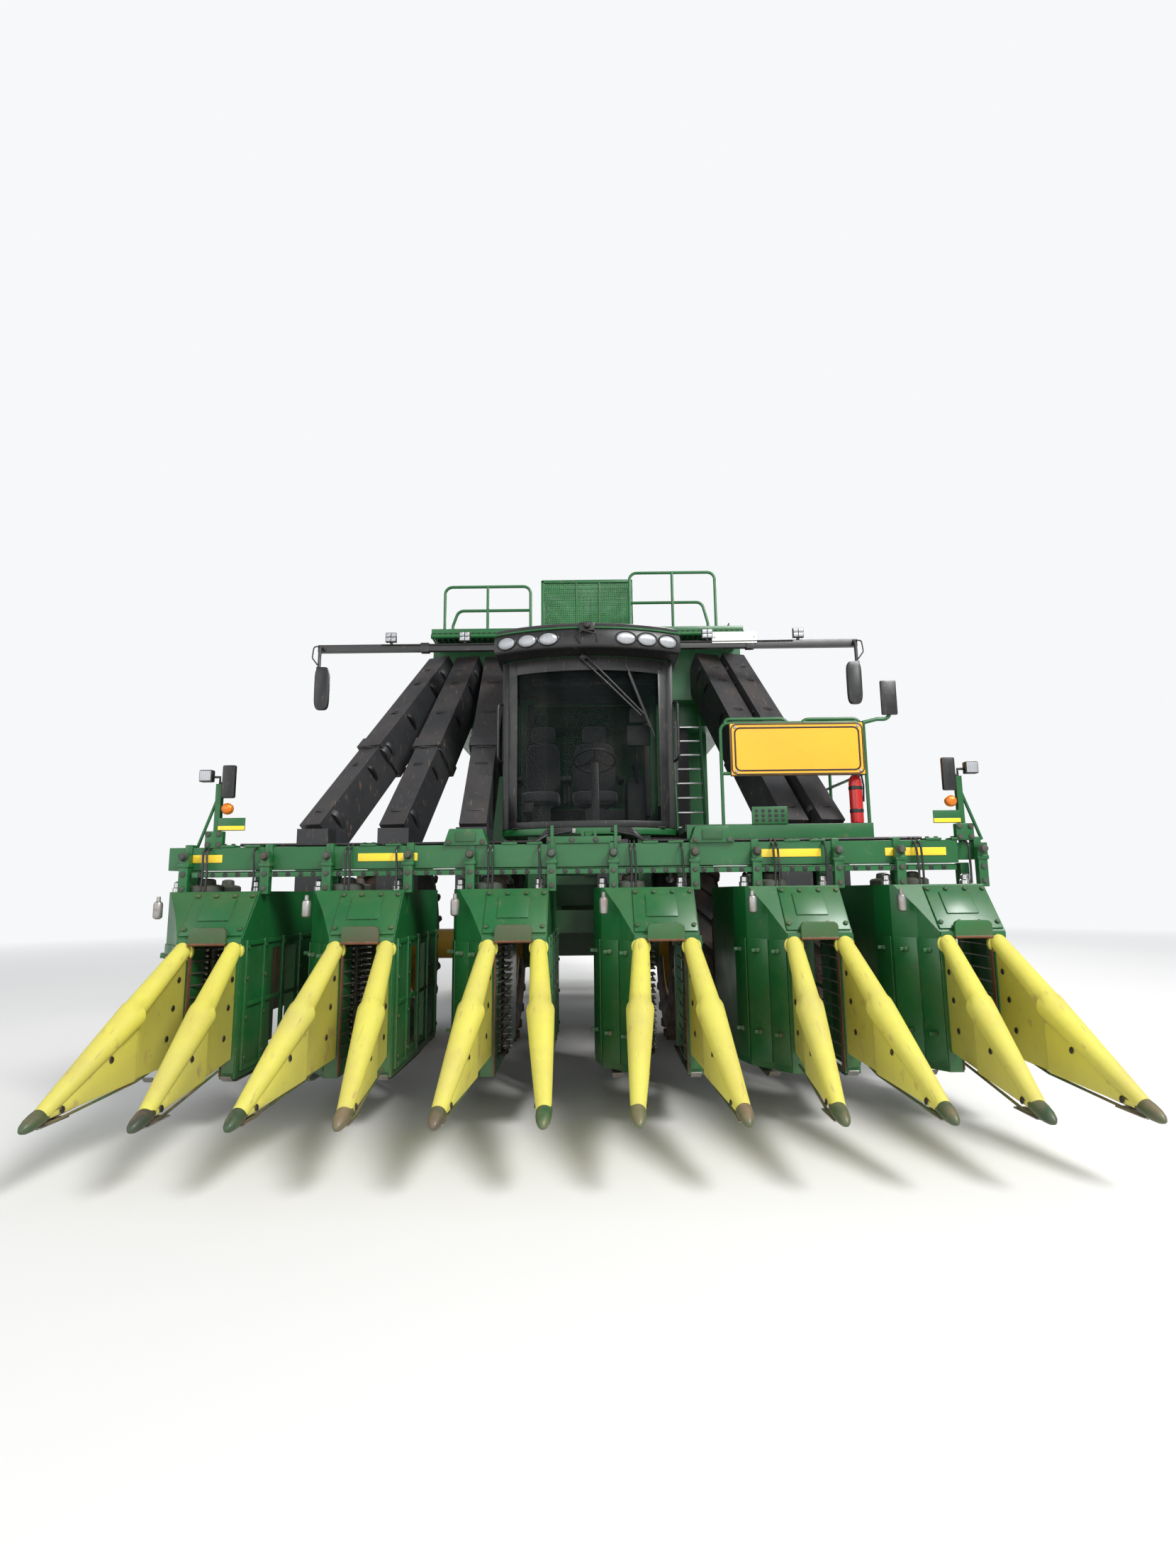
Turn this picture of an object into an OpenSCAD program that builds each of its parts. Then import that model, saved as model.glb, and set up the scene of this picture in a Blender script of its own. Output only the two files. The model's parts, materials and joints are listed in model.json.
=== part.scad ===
// Six-row cotton picker with a round-module chamber, in millimetres.
// +Z is up, the machine faces -Y, and it stands on the ground at z = 0.
// Inside place(), x counts from the machine's middle, y from its front axle and z from the ground.

/* [Overall] */
// From the front axle forward to the divider noses
header_reach = 4100; // [4000:10:4300]
// From the front axle back to the module handler's end
tail_reach = 5900; // [5700:10:6200]
// Outermost cabinet side, from the machine's middle
left_reach = 2970; // [2970:1:2970]
// Outermost lamp plate on the other side, from the machine's middle
right_reach = 2820; // [2780:5:2900]
// From the front axle to the rear axle
wheelbase = 3900; // [3850:10:3980]

/* [Front wheels] */
// Radius over the lugs
front_r = 975; // [940:5:980]
// Width of one tyre
front_w = 520; // [460:5:530]
// Radius of the rim's seat
front_rim_r = 533; // [500:1:560]
// Inner tyre of each pair, from the machine's middle
dual_in = 1000; // [990:5:1020]
// Outer tyre of each pair, from the machine's middle
dual_out = 2000; // [1900:5:2050]
// Lugs on each half of the tread
front_lugs = 22; // [16:1:26]

/* [Rear wheels] */
// Radius over the lugs
rear_r = 765; // [740:5:790]
// Width of the tyre
rear_w = 480; // [400:5:500]
// Radius of the rim's seat
rear_rim_r = 381; // [360:1:400]
// Middle of the tyre, from the machine's middle
rear_track = 1500; // [1480:5:1560]
// Kingpin, from the machine's middle
kingpin_x = 1000; // [980:5:1010]
// Lugs on each half of the tread
rear_lugs = 18; // [14:1:22]
// Length of the steering arm
steer_arm = 250; // [220:5:280]

/* [Tyres] */
// Height of a lug over the carcass
lug_h = 42; // [30:1:55]
// Thickness of a lug along the tread
lug_t = 58; // [40:1:70]
// Slant of a lug
lug_slant = 42; // [30:1:50]

/* [Frame] */
// Middle of a frame rail, from the machine's middle
rail_x = 480; // [470:5:490]
// Width of a frame rail
rail_w = 160; // [120:5:170]
// Underside of the rails
rail_z = 1130; // [1110:5:1150]
// Height of the rails
rail_h = 200; // [180:5:220]
// Front end of the rails, ahead of the axle
rail_front = 1150; // [1150:5:1160]
// Rear end of the rails, behind the axle
rail_rear = 4900; // [4880:5:4920]

/* [Lift linkage] */
// Length of the lift links between their pins
link_l = 1250; // [1230:5:1260]
// Height of the lower links' pins
link_z = 1720; // [1710:5:1740]
// Height of the upper link's pins
top_link_z = 1900; // [1890:2:1904]
// Rear pins of the links, ahead of the axle
link_y = 1080; // [1070:5:1090]
// Middle of a lower link, from the machine's middle
link_x = 610; // [605:1:615]
// Radius of the lower links' pins
link_pin = 25; // [20:1:30]

/* [Picking units] */
// Distance between the rows
row_pitch = 1000; // [990:1:1010]
// Front face of the units, ahead of the axle
unit_front = 2950; // [2940:5:2960]
// Length of a unit
unit_l = 1350; // [1340:2:1352]
// Underside of a unit
unit_z = 330; // [320:5:345]
// Top of a unit
unit_top = 1520; // [1500:5:1530]
// Top of the throat that the plants pass through
throat_top = 1180; // [1160:5:1200]
// Width of the throat
throat_w = 240; // [220:2:250]
// Cabinet side of a unit, from its throat's middle
unit_left = 470; // [470:1:470]
// Wall side of a unit, from its throat's middle
unit_right = 220; // [210:1:230]
// Middle of the drum, from the throat's middle
drum_x = 215; // [212:1:220]
// Middle of the drum, behind the unit's front
drum_y = 360; // [355:5:380]
// Radius over the spindles
drum_r = 175; // [160:1:178]
// Distance between rows of spindles
spindle_pitch = 40; // [36:1:48]
// Upright bars on a drum
drum_bars = 10; // [8:1:12]

/* [Dividers] */
// Spread of a pair at the units
divider_top_x = 165; // [155:1:170]
// Spread of a pair at the tips
divider_tip_x = 265; // [250:1:270]
// Length of a divider ahead of the unit
divider_l = 1060; // [1000:5:1070]
// Height of the divider's ridge at the unit
divider_top_z = 1140; // [1100:5:1150]
// Height of the divider's tip
divider_tip_z = 400; // [395:1:420]

/* [Cab] */
// Width of the cab
cab_w = 1600; // [1560:5:1610]
// Front of the cab, ahead of the axle
cab_front = 1300; // [1280:5:1320]
// Rear of the cab, behind the axle
cab_rear = 250; // [230:2:270]
// Underside of the cab floor
cab_z = 2000; // [2000:1:2000]
// Underside of the cab roof
cab_top = 3650; // [3620:5:3680]
// Top of the cab roof
roof_top = 3950; // [3900:5:3960]
// Thickness of the cab's walls
cab_wall = 45; // [35:1:55]

/* [Platform] */
// Top of the platform
platform_z = 2050; // [2040:2:2060]
// Outer edge of the platform, from the machine's middle
platform_x = 2420; // [2400:5:2450]
// Front edge of the platform, ahead of the axle
platform_front = 1600; // [1590:5:1620]

/* [Ducts] */
// Width of a suction duct
duct_w = 270; // [260:2:276]
// Depth of a suction duct
duct_d = 400; // [390:2:404]
// Open lower end of the ducts
duct_z = 1380; // [1376:1:1386]

/* [Accumulator] */
// Half width of the accumulator
acc_x = 1660; // [1620:5:1700]
// Front wall, behind the axle
acc_front = 600; // [590:2:610]
// Rear wall, behind the axle
acc_rear = 2600; // [2580:5:2610]
// Underside
acc_z = 3400; // [3390:2:3410]
// Top edge of the walls
acc_top = 4400; // [4380:5:4420]
// Top of the walkway
walkway_z = 4300; // [4290:2:4310]
// Front edge of the walkway, ahead of the axle
walkway_front = 150; // [130:5:170]
// Top of the tall handrail
rail_top = 4990; // [4950:5:5050]

/* [Module chamber] */
// Radius of the round chamber
chamber_r = 1270; // [1250:5:1275]
// Height of the chamber's middle
chamber_z = 2900; // [2896:1:2910]
// Half width over the chamber's sides
chamber_x = 1300; // [1280:2:1310]
// Thickness of the chamber's walls
chamber_wall = 50; // [40:1:60]

/* [Hidden] */
$fn = 64;
// Running gap between a pin and its eye, and between seated curved faces
fit = 0.3;
// Gap between pieces that move past each other
gap = 5;
// Height of a rim's flange over its seat
flange_h = 24;
// Tubes of the platform's rails
rail_tube_r = 15;
centre_x = (left_reach - right_reach) / 2;
axle_y = (header_reach - tail_reach) / 2;
rail_top_z = rail_z + rail_h;
rail_out = rail_x + rail_w / 2;
rail_in = rail_x - rail_w / 2;
unit_y = -unit_front;
rows_x = [for (i = [0:5]) (i - 2.5) * row_pitch];
cavity_r = drum_r + 15;
cavity_floor = unit_z + 60;
drum_z = cavity_floor + 10;
drum_h = throat_top - drum_z - 10;
// Sloped cover of a unit: its lower edge, and how far back its upper edge is
slope_z = throat_top + 30;
slope_y = 230;
bar_z0 = unit_top + 150;
bar_h = 160;
bar_y = unit_y + 300;
bar_d = 160;
link_front_y = -link_y - link_l;
divider_tip_r = 38;
hood_y = -1490;
// Back of the nozzles, clear of the frame as the header swings down
nozzle_rear = -rail_front - 50;
riser_top = 1700;
rear_y = wheelbase;
chamber_y = wheelbase;
bay_front = 1080;
bay_rear = 2540;
bay_x = 1450;
shield_y0 = 1700;
shield_y1 = bay_rear - 40;
gate_pin = [chamber_y - 80, chamber_z + chamber_r + 130];
handler_pin = [rail_rear + 90, rail_z + 90];
// Lift cylinder's foot on the frame and its rod's eye on the arm, in the side view
lift_foot = [-1000, 1400];
lift_eye = [-1500, 1700];
lift_pin = 22;
lift_rod_r = 18;
// Gate cylinder's foot on the chamber and its rod's eye on the gate, in the side view
gate_foot = [2900, 3200];
gate_eye = [4350, 3100];
gate_pin_r = 25;
gate_rod_r = 22;
// Windscreen: half its width, lower edge and upper edge
screen_x = cab_w / 2 - 90;
screen_z0 = cab_z + 90;
screen_z1 = cab_top - 70;
// Lamps in the roof's front edge: [x, back of the lamp]
roof_lamps = [[350, -1435], [545, -1380], [740, -1302]];
// Doorway in the cab's left side and the pin that its door swings on
door_y0 = -1020;
door_y1 = -300;
door_z0 = 2090;
door_z1 = 3590;
door_pin_x = cab_w / 2 + 16;
door_hinges = [2300, 3300];
// Pin at the top of each side shield, and where its two hinges stand
shield_pin = [bay_x + 20, acc_z - 55];
shield_hinges = [shield_y0 + 140, shield_y1 - 250];
// Ducts on the machine's left and right sides: [x at the hood, x at the top]
left_ducts = [[1780, 1300], [2100, 1600]];
right_ducts = [[-1020, -1020], [-1700, -1320], [-2400, -1620]];
// The innermost duct runs under the cab to a riser behind it
inner_duct_x = 200;
riser_x = 1050;
// Where each unit's nozzle stands under its duct
nozzles_x = [right_ducts[2][0], right_ducts[1][0], right_ducts[0][0], inner_duct_x,
    left_ducts[0][0], left_ducts[1][0]];
// Raised screen box: its front and its top
box_front = 60;
box_top = rail_top - 20;
plenum_y = acc_front - 300;
plenum_z = 3640;
// Top of the hollow in a duct's hood
hood_roof = 1850;

// From the machine's middle and front axle to the part's own origin
module place() {
    translate([centre_x, axle_y, 0]) children();
}

// The same shape on both sides of the machine
module both_sides() {
    children();
    mirror([1, 0, 0]) children();
}

// Box between two corners
module block(low, high) {
    translate(low) cube(high - low);
}

// Round rod from one point to another
module rod(a, b, r) {
    d = b - a;
    translate(a)
        rotate([0, acos(d[2] / norm(d)), atan2(d[1], d[0])]) cylinder(h = norm(d), r = r);
}

// Square-edged bar from one point to another, with its width level
module bar(a, b, width, depth) {
    d = b - a;
    translate(a)
        rotate([0, acos(d[2] / norm(d)), atan2(d[1], d[0])])
            translate([-depth / 2, -width / 2, 0]) cube([depth, width, norm(d)]);
}

// Cylinder along X from x0 to x1 at a point of the side view
module cross_pin(x0, x1, y, z, r) {
    translate([x0, y, z]) rotate([0, 90, 0]) cylinder(h = x1 - x0, r = r);
}

// Side-view outline of [y, z] points, extruded from x0 to x1
module side_plate(x0, x1, points) {
    translate([x0, 0, 0]) rotate([90, 0, 90]) linear_extrude(x1 - x0) polygon(points);
}

// Revolve about the X axis: outline points are [radius, x]
module turned(points) {
    rotate([0, 90, 0]) rotate_extrude($fn = 96) polygon(points);
}

// Half of the bead's width on a rim, from the tyre's width
function bead(w) = 0.36 * w;

module tyre(r, w, rim_r, lugs) {
    carcass_r = r - lug_h;
    wall_h = carcass_r - rim_r;
    turned([
        [rim_r + fit, -bead(w)],
        [rim_r + flange_h + 2, -bead(w)],
        [rim_r + 0.2 * wall_h, -0.44 * w],
        [rim_r + 0.5 * wall_h, -0.5 * w],
        [rim_r + 0.8 * wall_h, -0.47 * w],
        [carcass_r - 12, -0.38 * w],
        [carcass_r, -0.2 * w],
        [carcass_r, 0.2 * w],
        [carcass_r - 12, 0.38 * w],
        [rim_r + 0.8 * wall_h, 0.47 * w],
        [rim_r + 0.5 * wall_h, 0.5 * w],
        [rim_r + 0.2 * wall_h, 0.44 * w],
        [rim_r + flange_h + 2, bead(w)],
        [rim_r + fit, bead(w)]]);
    intersection() {
        rotate([0, 90, 0]) cylinder(h = 0.97 * w, r = r, center = true, $fn = 96);
        for (side = [-1, 1])
            for (i = [0:lugs - 1])
                rotate([(i + (side > 0 ? 0.5 : 0)) * 360 / lugs, 0, 0])
                    translate([side * 0.25 * w, 0, -r])
                        rotate([0, 0, side * lug_slant])
                            translate([-0.31 * w, -lug_t / 2, -10]) cube([0.62 * w, lug_t, lug_h + 45]);
    }
}

// Rim with its dished disc; the disc's hub face is at x = 0 and dish moves it out of the middle
module rim(w, rim_r, hub_r, dish) {
    b = bead(w);
    turned([
        [hub_r, -12], [hub_r + 120, -12], [rim_r - 110, dish - 12], [rim_r - 34, dish - 12],
        [rim_r - 34, -b - 16], [rim_r + flange_h, -b - 16], [rim_r + flange_h, -b - fit],
        [rim_r, -b - fit], [rim_r, b + fit], [rim_r + flange_h, b + fit],
        [rim_r + flange_h, b + 16], [rim_r - 34, b + 16],
        [rim_r - 34, dish + 12], [rim_r - 100, dish + 12], [hub_r + 130, 12], [hub_r, 12]]);
}

module front_tyres() {
    for (x = [dual_in, dual_out])
        translate([x, 0, front_r]) tyre(front_r, front_w, front_rim_r, front_lugs);
}

module front_rims() {
    hub_r = 150;
    difference() {
        union() {
            for (x = [dual_in, dual_out])
                translate([x, 0, front_r]) rim(front_w, front_rim_r, hub_r - 1, 60);
            cross_pin(700, dual_out + 40, 0, front_r, hub_r);
            cross_pin(dual_out + 40, dual_out + 120, 0, front_r, 90);
        }
        cross_pin(690, dual_in + fit, 0, front_r, 60 + fit);
    }
}

module rear_tyre() {
    translate([rear_track, rear_y, rear_r]) tyre(rear_r, rear_w, rear_rim_r, rear_lugs);
}

module rear_rim() {
    hub_r = 90;
    difference() {
        union() {
            translate([rear_track, rear_y, rear_r]) rim(rear_w, rear_rim_r, hub_r - 1, 60);
            cross_pin(1150, rear_track + 60, rear_y, rear_r, hub_r);
        }
        cross_pin(1140, 1290 + fit, rear_y, rear_r, 45 + fit);
    }
}

module main_frame() {
    both_sides() {
        block([rail_in, -rail_front, rail_z], [rail_out, rail_rear, rail_top_z]);
        // Cab mounts, the front pair also carrying the lift links
        block([rail_out - 120, -rail_front, rail_top_z], [rail_out, -950, cab_z]);
        block([rail_out - 120, 80, rail_top_z], [rail_out, 200, cab_z]);
        cross_pin(rail_out, link_x + 50, -link_y, link_z, link_pin);
        cross_pin(rail_out, 750, lift_foot[0], lift_foot[1], lift_pin);
        // Lugs that carry the module handler
        difference() {
            block([600, rail_rear, rail_z], [640, handler_pin[0] + 50, rail_top_z]);
            cross_pin(590, 650, handler_pin[0], handler_pin[1], 30 + fit);
        }
    }
    block([-rail_in, -rail_front, rail_z], [rail_in, -950, rail_top_z]);
    block([-rail_in, 2400, rail_z], [rail_in, 2550, rail_top_z]);
    block([-rail_in, rear_y - 120, rail_z], [rail_in, rear_y + 120, rail_top_z]);
    // Rear cross member with the drawbar hole
    difference() {
        block([-640, rail_rear - 150, rail_z], [640, rail_rear, rail_top_z]);
        translate([0, rail_rear - 75, rail_z - 1]) cylinder(h = rail_h + 2, r = 20);
    }
    // Beam and post for the upper link
    block([-rail_out + 120, -link_y, 1560], [rail_out - 120, -link_y + 120, 1640]);
    block([-55, -link_y - 50, 1640], [55, -link_y + 70, top_link_z - 60]);
    for (side = [-1, 1])
        translate([side * 45 - 10, 0, 0])
            block([0, -link_y - 50, top_link_z - 60], [20, -link_y + 70, top_link_z + 45]);
    cross_pin(-55, 55, -link_y, top_link_z, 18);
    // Saddles under the module chamber
    for (saddle = [[chamber_y - chamber_r + 325, 100, chamber_x], [chamber_y - 200, 150, 800]])
        block([-saddle[2], saddle[0], rail_top_z],
            [saddle[2], saddle[0] + saddle[1], chamber_z - chamber_r]);
}

module front_axle() {
    block([-rail_out - 10, -170, 850], [rail_out + 10, 170, rail_z]);
    both_sides() {
        cross_pin(rail_out + 10, 690, 0, front_r, 250);
        cross_pin(690, dual_in, 0, front_r, 60);
    }
}

module rear_axle() {
    block([-900, rear_y - 90, 675], [900, rear_y + 90, 855]);
    block([-140, rear_y - 120, 855], [140, rear_y + 120, rail_z]);
    both_sides()
        difference() {
            union() {
                translate([kingpin_x, rear_y, 640]) cylinder(h = 250, r = 70);
                block([890, rear_y - 60, 690], [kingpin_x, rear_y + 60, 840]);
            }
            translate([kingpin_x, rear_y, 630]) cylinder(h = 270, r = 30 + fit);
        }
}

module knuckle() {
    translate([kingpin_x, rear_y, 0]) {
        block([-75, -75, 895], [130, 75, 935]);
        block([-75, -75, 595], [130, 75, 635]);
        block([80, -75, 595], [130, 75, 935]);
        translate([0, 0, 600]) cylinder(h = 320, r = 30);
        block([-45, -steer_arm - 45, 895], [45, -60, 935]);
        cross_pin(125, 1290 - kingpin_x, 0, rear_r, 45);
    }
}

module tie_rod() {
    y = rear_y - steer_arm;
    cross_pin(-kingpin_x, kingpin_x, y, 960, 18);
    both_sides()
        translate([kingpin_x, y, 935 + fit]) cylinder(h = 45, r = 40);
}

module engine_block() {
    sump_top = rail_top_z + 770;
    block([-400, bay_front + 170, rail_top_z], [400, bay_rear - 160, sump_top]);
    block([-300, bay_front + 220, sump_top], [300, bay_rear - 240, sump_top + 320]);
    // Bearers that seat it on the rails
    for (y = [bay_front + 320, bay_front + 1070])
        block([-rail_out, y, rail_top_z], [rail_out, y + 100, rail_top_z + 120]);
}

module cooling_housing() {
    fan_face = -bay_x + 70;
    fan_y = 1900;
    fan_z = 2400;
    fan_r = 480;
    difference() {
        block([fan_face, bay_front + 40, rail_top_z + 120], [-rail_out - 80, shield_y1, acc_z - 200]);
        cross_pin(fan_face - 10, fan_face + 40, fan_y, fan_z, fan_r);
        block([fan_face + 80, bay_front + 80, rail_top_z + 160],
            [-rail_out - 70, shield_y1 - 40, acc_z - 240]);
    }
    cross_pin(fan_face - 20, fan_face + 40, fan_y, fan_z, fan_r / 4);
}

module engine_bay() {
    for (y = [bay_front, bay_rear - 40])
        block([-bay_x, y, rail_top_z], [bay_x, y + 40, acc_z - 60]);
    block([-bay_x, bay_front, acc_z - 60], [bay_x, bay_rear, acc_z]);
    both_sides() {
        block([bay_x - 40, bay_front + 40, 1450], [bay_x, shield_y0 - 20, acc_z - 60]);
        // Fixed halves of the shields' hinges
        for (y = shield_hinges) {
            shield_barrel(y, 120, 8);
            shield_barrel(y, 50, 14);
            block([bay_x, y, shield_pin[1]], [shield_pin[0], y + 50, shield_pin[1] + 25]);
        }
    }
}

// Barrel along Y on a shield's hinge axis
module shield_barrel(y, h, r) {
    translate([shield_pin[0], y, shield_pin[1]]) rotate([-90, 0, 0]) cylinder(h = h, r = r);
}

module fuel_tank() {
    block([rail_out + 80, bay_front + 40, rail_top_z + 70], [bay_x - 110, bay_rear - 40, acc_z - 800]);
}

module shield() {
    top = acc_z - 80;
    difference() {
        block([bay_x - 36, shield_y0 + gap, 1460], [bay_x, shield_y1 - gap, top]);
        for (i = [0:7])
            translate([0, 0, 2300 + i * 100])
                block([bay_x - 50, shield_y0 + 130, 0], [bay_x + 10, shield_y1 - 130, 45]);
    }
    // Moving halves of the hinges
    for (y = shield_hinges)
        difference() {
            union() {
                shield_barrel(y + 51, 60, 14);
                block([bay_x + gap, y + 51, top - 40], [shield_pin[0], y + 111, shield_pin[1]]);
                block([bay_x, y + 51, top - 120], [shield_pin[0], y + 111, top - 30]);
            }
            shield_barrel(y + 40, 100, 8 + fit);
        }
}

// Plan outline of the cab, with its bowed front
module cab_plan(inset) {
    bow = 1564;
    intersection() {
        translate([-cab_w / 2 + inset, -cab_front + inset])
            square([cab_w - 2 * inset, cab_front + cab_rear - 2 * inset]);
        translate([0, -cab_front + bow]) circle(r = bow - inset, $fn = 96);
    }
}

module cab_body() {
    difference() {
        translate([0, 0, cab_z]) linear_extrude(cab_top - cab_z) cab_plan(0);
        translate([0, 0, cab_z + 60]) linear_extrude(cab_top - cab_z) cab_plan(cab_wall);
        // Windscreen
        block([-screen_x, -cab_front - 10, screen_z0], [screen_x, -1000, screen_z1]);
        // Doorway on the left side
        block([cab_w / 2 - 100, door_y0, door_z0], [cab_w / 2 + 10, door_y1, door_z1]);
        // Side window behind the door, right side window and rear window
        block([cab_w / 2 - 100, door_y1 + 80, 2400], [cab_w / 2 + 10, cab_rear - 90, 3560]);
        block([-cab_w / 2 - 10, -1000, 2260], [-cab_w / 2 + 100, cab_rear - 90, 3560]);
        block([-cab_w / 2 + 120, cab_rear - 60, 2400], [cab_w / 2 - 120, cab_rear + 10, 3560]);
    }
    // Fixed halves of the door's hinges
    for (z = door_hinges) {
        hinge_pin(door_pin_x, door_y1, z);
        block([cab_w / 2, door_y1, z], [door_pin_x, door_y1 + 60, z + 50]);
    }
}

// Hinge along Z: the fixed half has the pin, the moving half the eye round it
module hinge_pin(x, y, z) {
    translate([x, y, z]) cylinder(h = 120, r = 8);
    translate([x, y, z]) cylinder(h = 50, r = 14);
}

module hinge_eye(x, y, z) {
    difference() {
        children();
        translate([x, y, z + 40]) cylinder(h = 100, r = 8 + fit);
    }
}

module cab_glass() {
    pane = 8;
    // Windscreen
    intersection() {
        translate([0, 0, screen_z0]) linear_extrude(screen_z1 - screen_z0)
            difference() {
                cab_plan(15);
                cab_plan(15 + pane);
            }
        block([-screen_x, -cab_front - 10, screen_z0], [screen_x, -1000, screen_z1]);
    }
    x = cab_w / 2 - 25;
    block([x, door_y1 + 80, 2400], [x + pane, cab_rear - 90, 3560]);
    block([-x - pane, -1000, 2260], [-x, cab_rear - 90, 3560]);
    block([-cab_w / 2 + 120, cab_rear - 25, 2400], [cab_w / 2 - 120, cab_rear - 25 + pane, 3560]);
}

module cab_door() {
    difference() {
        block([cab_w / 2 - 40, door_y0 + gap, door_z0 + gap], [cab_w / 2, door_y1 - gap, door_z1 - gap]);
        block([cab_w / 2 - 50, door_y0 + 75, door_z0 + 240], [cab_w / 2 + 10, door_y1 - 75, door_z1 - 75]);
    }
    // Moving halves of the hinges
    for (z = door_hinges)
        hinge_eye(door_pin_x, door_y1, z)
            union() {
                translate([door_pin_x, door_y1, z + 51]) cylinder(h = 60, r = 14);
                block([cab_w / 2, door_y1 - 60, z + 51], [door_pin_x, door_y1 - gap, z + 111]);
            }
    // Grab handle
    bar([cab_w / 2 + 35, door_y0 + 45, 2500], [cab_w / 2 + 35, door_y0 + 45, 3100], 22, 22);
    for (z = [2520, 3080])
        block([cab_w / 2, door_y0 + 34, z - 10], [cab_w / 2 + 30, door_y0 + 56, z + 10]);
}

module door_glass() {
    block([cab_w / 2 - 24, door_y0 + 75, door_z0 + 240], [cab_w / 2 - 16, door_y1 - 75, door_z1 - 75]);
}

module cab_interior() {
    floor_z = cab_z + 60;
    // Driver's seat and trainer's seat
    for (seat = [[60, 250, 260], [-480, 200, 200]]) {
        x = seat[0];
        block([x - 100, -560, floor_z], [x + 100, -300, floor_z + 300]);
        block([x - seat[1], -700, floor_z + 300], [x + seat[1], -200, floor_z + 420]);
        block([x - seat[2], -240, floor_z + 420], [x + seat[2], -130, floor_z + 1050]);
    }
    // Steering column and wheel
    side_plate(15, 105, [[-1140, floor_z], [-1020, floor_z], [-900, floor_z + 650], [-1020, floor_z + 640]]);
    translate([60, -945, floor_z + 660])
        rotate([-25, 0, 0]) {
            rotate_extrude() translate([190, 0]) circle(r = 16, $fn = 16);
            translate([0, 0, -20]) cylinder(h = 30, r = 60);
            for (a = [30, 150, 270])
                rotate([0, 0, a]) translate([0, -14, -8]) cube([190, 28, 16]);
        }
    // Side console and display
    block([370, -760, floor_z], [560, -160, floor_z + 560]);
    bar([470, -740, floor_z + 500], [470, -860, floor_z + 900], 40, 40);
    block([370, -900, floor_z + 830], [600, -870, floor_z + 1030]);
}

module cab_roof() {
    difference() {
        intersection() {
            translate([0, 0, cab_top]) linear_extrude(roof_top - cab_top)
                intersection() {
                    translate([-860, -1520]) square([1720, 1520 + cab_rear + 30]);
                    translate([0, -1520 + 1900]) circle(r = 1900, $fn = 96);
                }
            side_plate(-870, 870, [[-1530, cab_top], [-1530, cab_top + 120], [-1400, roof_top - 60],
                [-1150, roof_top], [0, roof_top], [cab_rear + 30, roof_top - 60], [cab_rear + 30, cab_top]]);
        }
        for (lamp = roof_lamps)
            both_sides() lamp_pocket(lamp[0], 62 + fit, lamp[1]);
    }
}

module lamp_pocket(x, r, back) {
    translate([x, back, cab_top + 100]) rotate([90, 0, 0]) cylinder(h = 200, r = r);
}

module work_lamps() {
    for (lamp = roof_lamps)
        both_sides()
            translate([lamp[0], lamp[1], cab_top + 100]) rotate([90, 0, 0]) cylinder(h = 60, r = 62);
}

module platform() {
    difference() {
        union() {
            block([cab_w / 2 + 20, -platform_front, platform_z - 60], [platform_x, 700, platform_z]);
            block([bay_x, 700, platform_z - 60], [platform_x, shield_y0 - 80, platform_z]);
        }
        // Cut-outs that the ducts pass through
        for (d = left_ducts)
            block([d[0] - duct_w / 2 - 75, hood_y - 15, platform_z - 80],
                [d[0] + duct_w / 2 + 25, hood_y + duct_d + 140, platform_z + 10]);
    }
    // Bracket beam from the cab mount
    block([rail_out, -990, platform_z - 180], [platform_x - 20, -880, platform_z - 60]);
}

module platform_rails() {
    z = platform_z;
    posts = [[1150, -platform_front + 20], [platform_x - 20, -platform_front + 20],
        [platform_x - 20, -600], [platform_x - 20, 400], [platform_x - 20, 1000]];
    for (p = posts)
        translate([p[0], p[1], z]) cylinder(h = 880, r = 17);
    for (h = [440, 880]) {
        cross_pin(1150, platform_x - 20, -platform_front + 20, z + h, rail_tube_r);
        rod([platform_x - 20, -platform_front + 20, z + h], [platform_x - 20, 1000, z + h], rail_tube_r);
    }
}

module ladders() {
    // From the platform up beside the cab's rear pillar
    x0 = 940;
    x1 = 1240;
    foot = -25;
    lean = 220;
    head_z = 3300;
    rungs = 7;
    climb = head_z - platform_z;
    for (x = [x0, x1])
        side_plate(x - 20, x + 20, [[foot - 20, platform_z], [foot + 20, platform_z],
            [foot + lean + 20, head_z], [foot + lean - 20, head_z]]);
    for (i = [1:rungs - 1])
        cross_pin(x0, x1, foot + lean * i / rungs, platform_z + climb * i / rungs, 14);
    block([cab_w / 2, foot + lean - 15, head_z - 60], [x0, foot + lean + 15, head_z - 20]);
    // From the ground to the platform, behind the front wheels
    y0 = shield_y0 - 560;
    y1 = shield_y0 - 110;
    for (y = [y0, y1 - 30])
        translate([0, y + 30, 0])
            rotate([90, 0, 0])
                linear_extrude(30)
                    polygon([[2280, 450], [2350, 450], [2230, platform_z - 60], [2160, platform_z - 60]]);
    for (i = [0:5])
        block([2273 - i * 22, y0, 480 + i * 280], [2353 - i * 22, y1, 510 + i * 280]);
}

module sign_board() {
    // Seated on the front of the two rails
    y = -platform_front + 20 - rail_tube_r - fit;
    block([1230, y - 20, platform_z + 420], [platform_x - 45, y, platform_z + 870]);
}

module fire_extinguisher() {
    r = 55;
    body_h = 420;
    translate([platform_x - 100, -platform_front + 20 + rail_tube_r + gap + r, platform_z]) {
        cylinder(h = body_h, r = r);
        translate([0, 0, body_h]) cylinder(h = 60, r1 = r, r2 = 28);
        translate([0, 0, body_h + 60]) cylinder(h = 50, r = 22);
    }
}

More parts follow.
